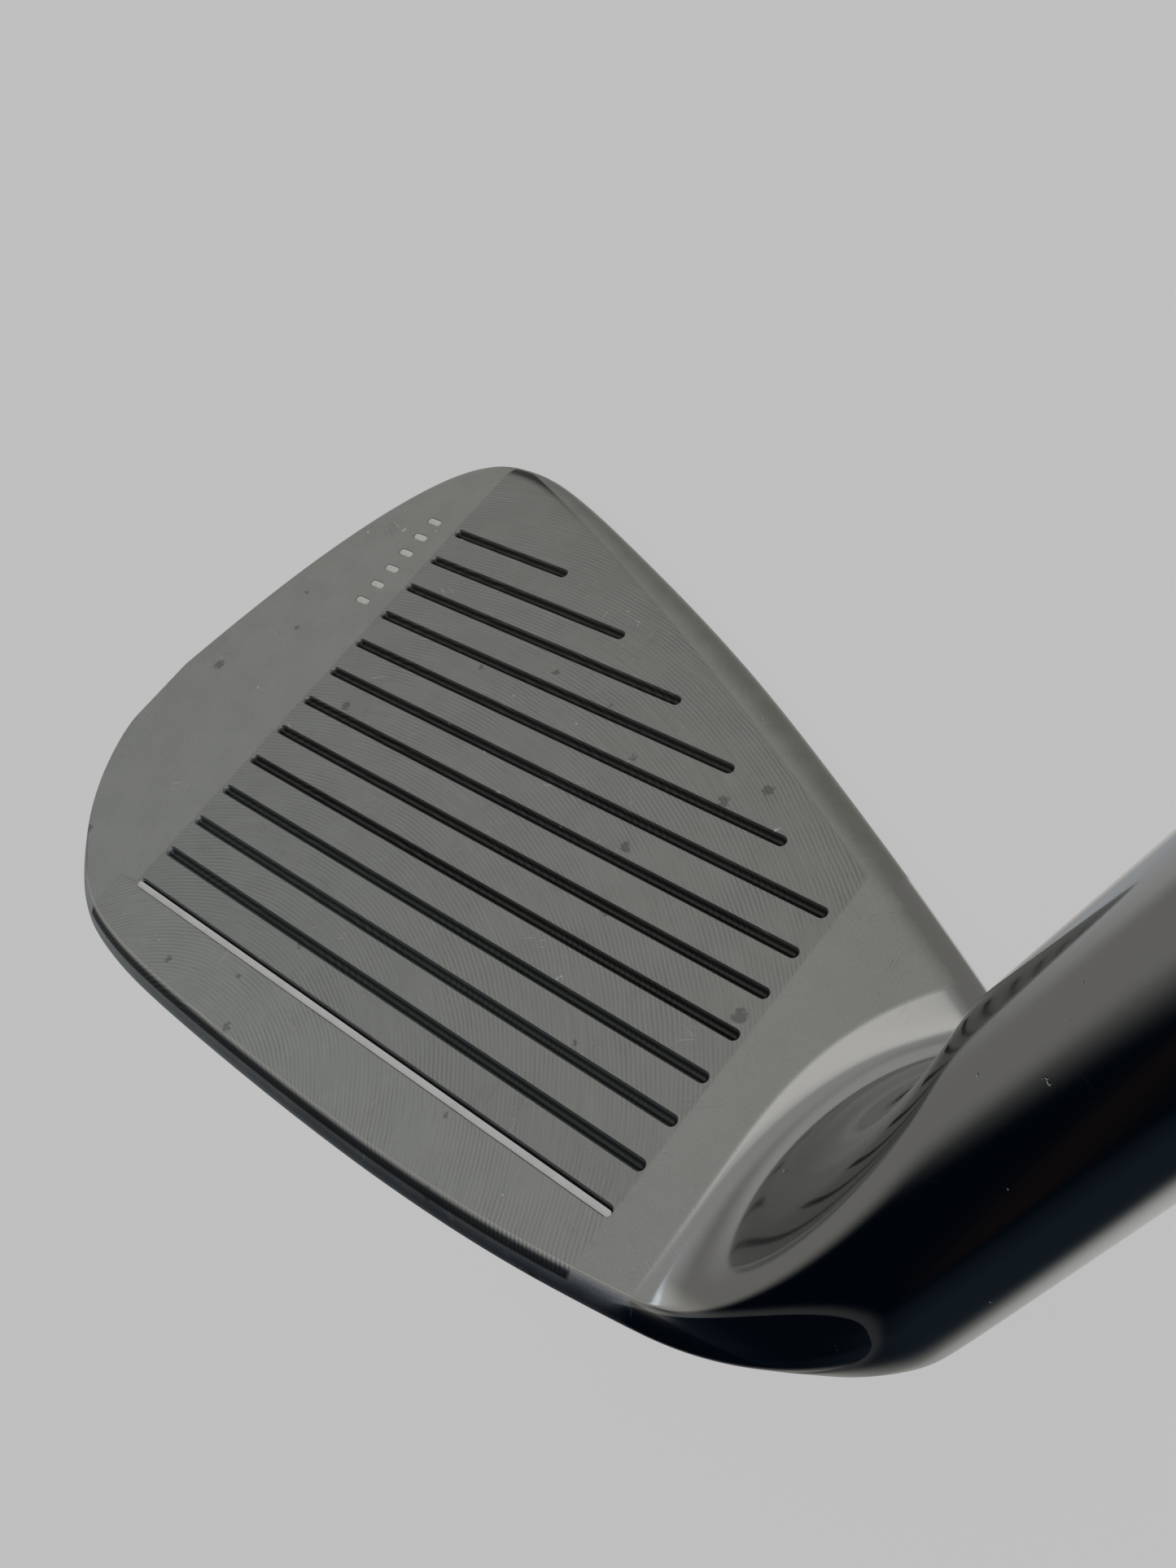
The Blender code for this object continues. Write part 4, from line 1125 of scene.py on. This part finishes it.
def cut_away(piece, mesh, place):
    """Subtract a cutter's mesh, set in a frame, from a piece."""
    mesh.transform(place)
    cutter = add_object("cutter", mesh)
    modifier = piece.modifiers.new("cut", "BOOLEAN")
    modifier.operation = "DIFFERENCE"
    modifier.solver = "EXACT"
    modifier.object = cutter
    return cutter


def make_head(settings, material):
    """The forging in one piece, with its bore, heel flat, score lines and toe mark."""
    head = add_object("head_cage", head_cage())
    head.data.transform(LYING)
    smooth = head.modifiers.new("smooth", "SUBSURF")
    smooth.levels = CAGE_LEVELS
    smooth.render_levels = CAGE_LEVELS
    cutters = [cut_away(head, bore_cutter(), SHAFT_FRAME),
               cut_away(head, heel_flat_cutter(), LYING),
               cut_away(head, line_cutters(settings, material), FACE_FRAME)]
    for number in range(MARK_COUNT):
        cutters.append(cut_away(head, mark_cutter(), mark_place(number)))
    mesh = settled_mesh(head)
    for cutter in cutters:
        bpy.data.objects.remove(cutter, do_unlink=True)
    bm = bmesh.new()
    bm.from_mesh(mesh)
    bmesh.ops.remove_doubles(bm, verts=bm.verts, dist=0.002 * MM)
    bmesh.ops.dissolve_degenerate(bm, edges=bm.edges, dist=0.002 * MM)
    bm.to_mesh(mesh)
    bm.free()
    return finish_piece("forged_head", mesh, material, ("club_head",), 30.0)


def paint_bar(length, width, depth):
    """Paint that fills a cut, its top nearly level with the face and crowned."""
    half = width / 2 - PAINT_GAP
    parts = ((half * 0.7, -PAINT_RECESS), (half * 0.94, -PAINT_RECESS - 0.03 * MM),
             (half * 0.9, -depth * 0.6), (half * 0.7, FIT - depth))
    return grid_mesh("paint_bar", slot_rings(length, width / 2, parts), True)


# ---------------------------------------------------------------- turned pieces

def turned_mesh(name, profile):
    """Turn a closed profile of (radius, height) points about the shaft's axis, in its place."""
    turns = np.arange(TURN_STEPS) * math.tau / TURN_STEPS
    rings = [[(radius * math.cos(turn), radius * math.sin(turn), height) for turn in turns]
             for radius, height in profile]
    mesh = grid_mesh(name, rings, closed_ends=False)
    mesh.transform(SHAFT_FRAME)
    return mesh


def turn_piece(name, profile, material, node):
    """A finished piece that is turned about the shaft's axis."""
    return finish_piece(name, turned_mesh(name, profile), material, (node,))


def shaft_radius(height):
    """Outer radius of the shaft at a height, between the shoulders of its steps."""
    steps = min(max(math.floor((height - FIRST_STEP) / STEP_LENGTH) + 1, 0), STEP_COUNT)
    return TIP_RADIUS + (BUTT_RADIUS - TIP_RADIUS) * steps / STEP_COUNT


def shaft_profile():
    """Profile of the stepped tube, with softly rolled shoulders."""
    points = [(BUTT_RADIUS, SHAFT_BUTT)]
    for step in reversed(range(STEP_COUNT)):
        shoulder = FIRST_STEP + step * STEP_LENGTH
        high = shaft_radius(shoulder + STEP_LENGTH / 2)
        low = shaft_radius(shoulder - STEP_LENGTH / 2)
        for share in np.linspace(0.0, 1.0, 6):
            points.append((high + (low - high) * float(ease(share)), shoulder - share * STEP_SHOULDER))
    points.append((TIP_RADIUS, SHAFT_TIP + 0.3 * MM))
    points.append((TIP_RADIUS - 0.3 * MM, SHAFT_TIP))
    inside = TIP_RADIUS - TIP_WALL
    return points + [(inside, SHAFT_TIP), (inside, FIRST_STEP), (BUTT_RADIUS - BUTT_WALL, LAST_STEP),
                     (BUTT_RADIUS - BUTT_WALL, SHAFT_BUTT)]


def ferrule_profile():
    """Profile of the ferrule: two trim rings, then a curved taper."""
    bottom = HOSEL_TOP + FIT
    top = bottom + FERRULE_LENGTH
    inside = TIP_RADIUS + FIT
    waist = inside + FERRULE_WAIST_WALL
    mouth = inside + FERRULE_TOP_WALL
    points = [(inside, top), (mouth - 0.15 * MM, top), (mouth, top - 0.2 * MM)]
    for share in np.linspace(0.1, 1.0, 10):
        radius = mouth + (waist - mouth) * share ** 1.15
        points.append((radius, top - (FERRULE_LENGTH - FERRULE_WAIST) * share))
    for share in np.linspace(0.2, 1.0, 8):
        radius = waist + (HOSEL_RADIUS - waist) * math.sin(share * math.pi / 2)
        points.append((radius, bottom + FERRULE_WAIST - (FERRULE_WAIST - FERRULE_BAND) * share))
    for ring in (2.4 * MM, 1.4 * MM):
        points += [(HOSEL_RADIUS, bottom + ring + 0.2 * MM),
                   (HOSEL_RADIUS - 0.14 * MM, bottom + ring),
                   (HOSEL_RADIUS, bottom + ring - 0.2 * MM)]
    return points + [(HOSEL_RADIUS, bottom + 0.1 * MM), (HOSEL_RADIUS - 0.1 * MM, bottom),
                     (inside, bottom)]


def band_profile():
    """Profile of the printed film, with eased edges."""
    top = GRIP_MOUTH - BAND_BELOW_GRIP
    inside = BUTT_RADIUS + FIT
    outside = inside + BAND_THICKNESS
    low = top - BAND_LENGTH
    return [(inside, top), (outside - 0.05 * MM, top), (outside, top - 0.1 * MM),
            (outside, low + 0.1 * MM), (outside - 0.05 * MM, low), (inside, low)]


def grip_radius(share, proud):
    """Radius of the grip's sleeve at a share of its length, less what its pads stand proud."""
    inside = BUTT_RADIUS + TAPE_THICKNESS + 2 * FIT
    mouth = inside + GRIP_MOUTH_WALL
    return mouth + (GRIP_BUTT_RADIUS - mouth) * share ** GRIP_FLARE - proud


def grip_profile(proud):
    """Profile of the grip's sleeve: plain collars at both ends, the patterned length between."""
    inside = BUTT_RADIUS + TAPE_THICKNESS + 2 * FIT
    top = CAP_BOTTOM - FIT
    length = top - GRIP_MOUTH
    points = [(inside, top)]
    for share in np.linspace(1.0, 0.03, 60):
        sunk = proud * float(ease((0.985 - share) / 0.01) * ease((share - 0.05) / 0.01))
        points.append((grip_radius(share, sunk), GRIP_MOUTH + length * share))
    mouth = grip_radius(0.0, 0.0)
    points += [(mouth, GRIP_MOUTH + GRIP_LIP), (mouth - 0.1 * MM, GRIP_MOUTH + 1.2 * MM),
               (mouth - 0.35 * MM, GRIP_MOUTH + 0.4 * MM),
               (mouth - GRIP_MOUTH_WALL / 2, GRIP_MOUTH), (inside + 0.1 * MM, GRIP_MOUTH),
               (inside, GRIP_MOUTH + 0.1 * MM)]
    return points


def cap_profile():
    """Profile of the end cap: a domed rim, a shallow ring groove, the vent and the stem."""
    stem = BUTT_RADIUS - BUTT_WALL - FIT
    points = [(VENT_RADIUS, CLUB_LENGTH - 0.5 * MM), (VENT_RADIUS + 0.3 * MM, CLUB_LENGTH - 0.25 * MM)]
    for radius, depth in ((3.2, 0.2), (6.6, 0.12), (7.0, 0.5), (7.6, 0.5), (8.0, 0.06), (10.6, 0.0)):
        points.append((radius * MM, CLUB_LENGTH - depth * MM))
    for share in np.linspace(0.15, 1.0, 7):
        turn = share * math.pi / 2
        points.append((GRIP_BUTT_RADIUS - 2.0 * MM * (1 - math.sin(turn)),
                       CLUB_LENGTH - 2.0 * MM * (1 - math.cos(turn))))
    return points + [(GRIP_BUTT_RADIUS, CAP_BOTTOM), (stem, CAP_BOTTOM), (stem, CAP_BOTTOM - CAP_STEM),
                     (VENT_RADIUS, CAP_BOTTOM - CAP_STEM)]


def pad_mesh():
    """One raised pad of the grip: a lozenge with sloping sides, its top outwards along +Z."""
    rings = []
    for size, height in ((1.0, -0.25), (0.96, 0.35), (0.72, 1.0)):
        rings.append([(size * 0.5, 0, height), (0, size * 0.5, height),
                      (-size * 0.5, 0, height), (0, -size * 0.5, height)])
    return grid_mesh("pad", rings, True)


def pad_tree():
    """Geometry tree that sets staggered rows of pads around the grip's flared sleeve."""
    tree = bpy.data.node_groups.new("grip_pads", "GeometryNodeTree")
    for label, kind in (("Geometry", "NodeSocketGeometry"), ("Pad", "NodeSocketObject"),
                        ("Around", "NodeSocketInt"), ("Rows", "NodeSocketInt"),
                        ("Bottom", FLOAT_SOCKET), ("Top", FLOAT_SOCKET), ("Height", FLOAT_SOCKET),
                        ("Mouth Radius", FLOAT_SOCKET), ("Flare", FLOAT_SOCKET),
                        ("Material", "NodeSocketMaterial")):
        tree.interface.new_socket(label, in_out="INPUT", socket_type=kind)
    tree.interface.new_socket("Geometry", in_out="OUTPUT", socket_type="NodeSocketGeometry")
    graph = Graph(tree)
    given = graph.add("NodeGroupInput").outputs
    number = graph.add("GeometryNodeInputIndex").outputs[0]
    row = graph.math("FLOOR", graph.over(number, given["Around"]))
    place = graph.plus(number, graph.times(row, 0.5))
    turn = graph.times(graph.over(place, given["Around"]), math.tau)
    share = graph.over(graph.plus(row, 0.5), given["Rows"])
    length = graph.minus(given["Top"], given["Bottom"])
    height = graph.plus(given["Bottom"], graph.times(share, length))
    along = graph.over(graph.minus(height, GRIP_MOUTH), CAP_BOTTOM - FIT - GRIP_MOUTH)
    swell = graph.times(graph.math("POWER", along, GRIP_FLARE), given["Flare"])
    radius = graph.plus(given["Mouth Radius"], swell)
    out_x, out_y = graph.math("COSINE", turn), graph.math("SINE", turn)
    spot = graph.join(graph.times(radius, out_x), graph.times(radius, out_y), height)
    count = graph.times(given["Around"], given["Rows"])
    points = graph.add("GeometryNodePoints", {"Count": count, "Position": spot})
    first = graph.add("FunctionNodeAlignEulerToVector", {"Vector": graph.join(out_x, out_y, 0.0)},
                      axis="Z")
    second = graph.add("FunctionNodeAlignEulerToVector",
                       {"Rotation": first.outputs[0], "Vector": (0.0, 0.0, 1.0)},
                       axis="X", pivot_axis="Z")
    pad = graph.add("GeometryNodeObjectInfo", {"Object": given["Pad"]})
    wide = graph.over(graph.times(radius, math.tau * 0.86), given["Around"])
    tall = graph.times(graph.over(length, given["Rows"]), 1.66)
    placed = graph.add("GeometryNodeInstanceOnPoints", {
        "Points": points.outputs[0], "Instance": pad.outputs["Geometry"],
        "Rotation": second.outputs[0], "Scale": graph.join(tall, wide, given["Height"])})
    solid = graph.add("GeometryNodeRealizeInstances", {0: placed.outputs[0]})
    both = graph.add("GeometryNodeJoinGeometry")
    graph.feed(both.inputs[0], solid.outputs[0])
    graph.feed(both.inputs[0], given["Geometry"])
    dressed = graph.add("GeometryNodeSetMaterial", {"Geometry": both.outputs[0],
                                                    "Material": given["Material"]})
    graph.feed(graph.add("NodeGroupOutput").inputs[0], dressed.outputs[0])
    return tree


def make_grip(settings, material):
    """Sleeve with raised pads, turned in the shaft's frame and then laid in place."""
    proud = settings.pad_height
    sleeve = turned_mesh("sleeve", grip_profile(proud))
    sleeve.transform(SHAFT_FRAME.inverted())
    pad = add_object("pad", pad_mesh())
    length = CAP_BOTTOM - FIT - GRIP_MOUTH
    mesh = run_tree(add_object("sleeve", sleeve), pad_tree(), {
        "Pad": pad, "Around": settings.pads_around, "Rows": settings.pad_rows,
        "Bottom": GRIP_MOUTH + 0.06 * length, "Top": GRIP_MOUTH + 0.975 * length, "Height": proud,
        "Mouth Radius": grip_radius(0.0, proud), "Flare": GRIP_BUTT_RADIUS - grip_radius(0.0, 0.0),
        "Material": material})
    bpy.data.objects.remove(pad, do_unlink=True)
    mesh.transform(SHAFT_FRAME)
    return finish_piece("grip_sleeve", mesh, material, ("grip",), 40.0)


# ---------------------------------------------------------------- studio

def sky_direction(azimuth, elevation):
    """Unit vector from angles in degrees, azimuth from +X towards +Y."""
    azimuth, elevation = math.radians(azimuth), math.radians(elevation)
    return Vector((math.cos(azimuth) * math.cos(elevation), math.sin(azimuth) * math.cos(elevation),
                   math.sin(elevation)))


# Soft panels around the club: azimuth, elevation, half width, half height, softness, colour.
PANELS = (
    (180, -70, 60, 17, 12, (0.50, 0.50, 0.48)),
    (120, -14, 11, 15, 7, (0.34, 0.36, 0.38)),
    (92, 4, 26, 16, 10, (0.33, 0.33, 0.325)),
    (60, 42, 24, 22, 12, (0.30, 0.305, 0.295)),
    (47, 39, 4, 9, 3, (0.78, 0.77, 0.71)),
    (76, 56, 3, 9, 1.5, (0.75, 0.85, 1.0)),
    (-45, 40, 40, 34, 14, (0.42, 0.42, 0.42)),
    (212, 18, 44, 51, 14, (0.002, 0.004, 0.008)),
    (236, -16, 20, 24, 14, (0.014, 0.020, 0.026)),
    (232, 36, 4, 18, 5, (0.012, 0.009, 0.009)),
)
STUDIO_GREY = (0.185, 0.183, 0.172, 1.0)
FLOOR_GREY = 0.35
BACKDROP_LIFT = 0.2         # how much lighter the backdrop is than the floor's own light


def panel_group():
    """Mask of a soft rectangular panel seen in a direction."""
    tree, graph, inputs, outputs = shader_group(
        "soft_panel", [(label, VECTOR_SOCKET, None) for label in ("Sight", "Ahead", "Right", "Up")]
        + [(label, FLOAT_SOCKET, 0.5) for label in ("Wide", "High", "Soft")],
        (("Mask", FLOAT_SOCKET),))
    ahead = graph.vector("DOT_PRODUCT", inputs["Sight"], inputs["Ahead"]).outputs["Value"]
    mask = graph.math("GREATER_THAN", ahead, 0.0)
    for axis, size in (("Right", "Wide"), ("Up", "High")):
        side = graph.vector("DOT_PRODUCT", inputs["Sight"], inputs[axis]).outputs["Value"]
        angle = graph.math("ABSOLUTE", graph.math("ARCTAN2", side, ahead))
        low = graph.minus(inputs[size], inputs["Soft"])
        high = graph.plus(inputs[size], inputs["Soft"])
        mask = graph.times(mask, graph.step(angle, high, low))
    graph.feed(outputs["Mask"], mask)
    return tree


def light_world(settings):
    """World of soft panels that the polish reflects; the camera sees a plain pale backdrop."""
    world = bpy.data.worlds.new("studio")
    bpy.context.scene.world = world
    world.use_nodes = True
    graph = Graph(world.node_tree)
    sight = graph.add("ShaderNodeTexCoord").outputs["Generated"]
    panel = panel_group()
    colour = STUDIO_GREY
    for azimuth, elevation, wide, high, soft, tint in PANELS:
        ahead = sky_direction(azimuth, elevation)
        right = Vector((0.0, 0.0, 1.0)).cross(ahead).normalized()
        mask = graph.group(panel, {
            "Sight": sight, "Ahead": ahead, "Right": right, "Up": ahead.cross(right),
            "Wide": math.radians(wide), "High": math.radians(high), "Soft": math.radians(soft)})[0]
        colour = graph.blend(mask, colour, (*tint, 1.0))
    shade = world.node_tree.nodes["Background"]
    graph.feed(shade.inputs["Color"], colour)
    shade.inputs["Strength"].default_value = settings.light_level
    plain = graph.add("ShaderNodeBackground", {"Color": grey(settings.floor_tone + BACKDROP_LIFT)})
    seen = graph.add("ShaderNodeLightPath").outputs["Is Camera Ray"]
    both = graph.add("ShaderNodeMixShader", {0: seen, 1: shade.outputs[0], 2: plain.outputs[0]})
    graph.feed(world.node_tree.nodes["World Output"].inputs["Surface"], both.outputs[0])


def make_floor(settings):
    """Plain pale floor, partly self-lit so that it stays even."""
    bm = bmesh.new()
    bmesh.ops.create_grid(bm, x_segments=1, y_segments=1, size=settings.floor_size / 2)
    floor = add_object("floor", mesh_from("floor", bm))
    material = bpy.data.materials.new("floor")
    material.use_nodes = True
    shader = material.node_tree.nodes["Principled BSDF"]
    shader.inputs["Base Color"].default_value = grey(FLOOR_GREY)
    shader.inputs["Roughness"].default_value = 1.0
    shader.inputs["Specular IOR Level"].default_value = 0.0
    shader.inputs["Emission Color"].default_value = grey(1.0)
    shader.inputs["Emission Strength"].default_value = settings.floor_tone
    floor.data.materials.append(material)
    floor.visible_glossy = False


def place_camera():
    """Camera close to the head, in front of the heel."""
    ahead = Vector((-math.sin(CAMERA_AZIMUTH) * math.cos(CAMERA_ELEVATION),
                    math.cos(CAMERA_AZIMUTH) * math.cos(CAMERA_ELEVATION),
                    -math.sin(CAMERA_ELEVATION)))
    right = ahead.cross(Vector((0.0, 0.0, 1.0))).normalized()
    right = Matrix.Rotation(CAMERA_ROLL, 3, ahead) @ right
    data = bpy.data.cameras.new("camera")
    data.lens = CAMERA_LENS
    data.sensor_width = CAMERA_SENSOR
    data.clip_start = CAMERA_NEAR
    camera = bpy.data.objects.new("camera", data)
    bpy.context.scene.collection.objects.link(camera)
    camera.matrix_world = LYING @ matrix_of((right, right.cross(ahead), -ahead), CAMERA_PLACE)
    bpy.context.scene.camera = camera


# ---------------------------------------------------------------- operators

class IRONCLUB_OT_head(bpy.types.Operator):
    """Forge the head, with its grooves, polish and milled face"""
    bl_idname = "ironclub.head"
    bl_label = "Make Head"

    def execute(self, context):
        settings = context.scene.ironclub_head
        make_head(settings, forged_steel(settings))
        return {"FINISHED"}


class IRONCLUB_OT_paint(bpy.types.Operator):
    """Fill the lowest score line and the toe mark with paint"""
    bl_idname = "ironclub.paint"
    bl_label = "Make Paint Fills"

    def execute(self, context):
        settings = context.scene.ironclub_head
        pale = paint("line_paint", tuple(settings.paint_colour), FACE_FRAME)
        mesh = paint_bar(LINE_LENGTH, LINE_PAINT_WIDTH, settings.line_depth * 0.8)
        mesh.transform(FACE_FRAME @ Matrix.Translation((0.0, -LINE_PAINT_DROP, 0.0)))
        finish_piece("bottom_line_paint", mesh, pale, ("bottom_line_fill",))
        cream = paint("mark_paint", MARK_COLOUR, FACE_FRAME)
        for number in range(MARK_COUNT):
            bar = paint_bar(MARK_LENGTH, MARK_WIDTH, MARK_DEPTH)
            bar.transform(mark_place(number))
            finish_piece(f"toe_mark_paint_{number + 1}", bar, cream,
                         (f"toe_mark_fill_{number + 1}",))
        return {"FINISHED"}


class IRONCLUB_OT_shaft(bpy.types.Operator):
    """Turn the stepped shaft"""
    bl_idname = "ironclub.shaft"
    bl_label = "Make Shaft"

    def execute(self, context):
        plated = chrome(context.scene.ironclub_shaft)
        turn_piece("stepped_shaft", shaft_profile(), plated, "shaft")
        return {"FINISHED"}


class IRONCLUB_OT_ferrule(bpy.types.Operator):
    """Turn the ferrule between hosel and shaft"""
    bl_idname = "ironclub.ferrule"
    bl_label = "Make Ferrule"

    def execute(self, context):
        black = glossy_plastic(context.scene.ironclub_shaft)
        turn_piece("ferrule_collar", ferrule_profile(), black, "ferrule")
        return {"FINISHED"}


class IRONCLUB_OT_band(bpy.types.Operator):
    """Wrap the printed film around the shaft"""
    bl_idname = "ironclub.band"
    bl_label = "Make Shaft Band"

    def execute(self, context):
        film = band_film(context.scene.ironclub_shaft)
        turn_piece("band_wrap", band_profile(), film, "shaft_band")
        return {"FINISHED"}


class IRONCLUB_OT_grip(bpy.types.Operator):
    """Mould the grip with its pads, and the cap on its end"""
    bl_idname = "ironclub.grip"
    bl_label = "Make Grip"

    def execute(self, context):
        settings = context.scene.ironclub_grip
        make_grip(settings, rubber("grip_rubber", settings))
        turn_piece("end_cap", cap_profile(), rubber("cap_rubber", settings), "grip_cap")
        return {"FINISHED"}


class IRONCLUB_OT_inner_parts(bpy.types.Operator):
    """Finish the pieces inside: adhesive, weight and tape"""
    bl_idname = "ironclub.inner_parts"
    bl_label = "Finish Inner Parts"

    def execute(self, context):
        for node, *finish in INNER_FINISHES:
            repaint(node, hidden_finish(*finish))
        return {"FINISHED"}


class IRONCLUB_OT_studio(bpy.types.Operator):
    """Set up the floor, the light and the camera"""
    bl_idname = "ironclub.studio"
    bl_label = "Set Up Studio"

    def execute(self, context):
        settings = context.scene.ironclub_studio
        make_floor(settings)
        light_world(settings)
        place_camera()
        return {"FINISHED"}


OPERATORS = (IRONCLUB_OT_studio, IRONCLUB_OT_head, IRONCLUB_OT_paint, IRONCLUB_OT_shaft,
             IRONCLUB_OT_ferrule, IRONCLUB_OT_band, IRONCLUB_OT_grip, IRONCLUB_OT_inner_parts)


class IRONCLUB_PT_panel(bpy.types.Panel):
    """Pieces of the iron club"""
    bl_label = "Iron Club"
    bl_idname = "IRONCLUB_PT_panel"
    bl_space_type = "VIEW_3D"
    bl_region_type = "UI"
    bl_category = "Iron Club"

    def draw(self, context):
        for operator in OPERATORS:
            self.layout.operator(operator.bl_idname)


SETTINGS = {"ironclub_head": ClubHeadSettings, "ironclub_shaft": ShaftSettings,
            "ironclub_grip": GripSettings, "ironclub_studio": StudioSettings}


def register():
    """Register the settings, the operators and the panel."""
    for name, group in SETTINGS.items():
        bpy.utils.register_class(group)
        setattr(bpy.types.Scene, name, PointerProperty(type=group))
    for item in (*OPERATORS, IRONCLUB_PT_panel):
        bpy.utils.register_class(item)


def unregister():
    """Remove what register added."""
    for item in (IRONCLUB_PT_panel, *reversed(OPERATORS)):
        bpy.utils.unregister_class(item)
    for name, group in SETTINGS.items():
        delattr(bpy.types.Scene, name)
        bpy.utils.unregister_class(group)


def main():
    """Build every piece and the studio."""
    register()
    make_effects()
    bpy.ops.ironclub.studio()
    bpy.ops.ironclub.head()
    bpy.ops.ironclub.paint()
    bpy.ops.ironclub.shaft()
    bpy.ops.ironclub.ferrule()
    bpy.ops.ironclub.band()
    bpy.ops.ironclub.grip()
    bpy.ops.ironclub.inner_parts()


if __name__ == "__main__":
    main()
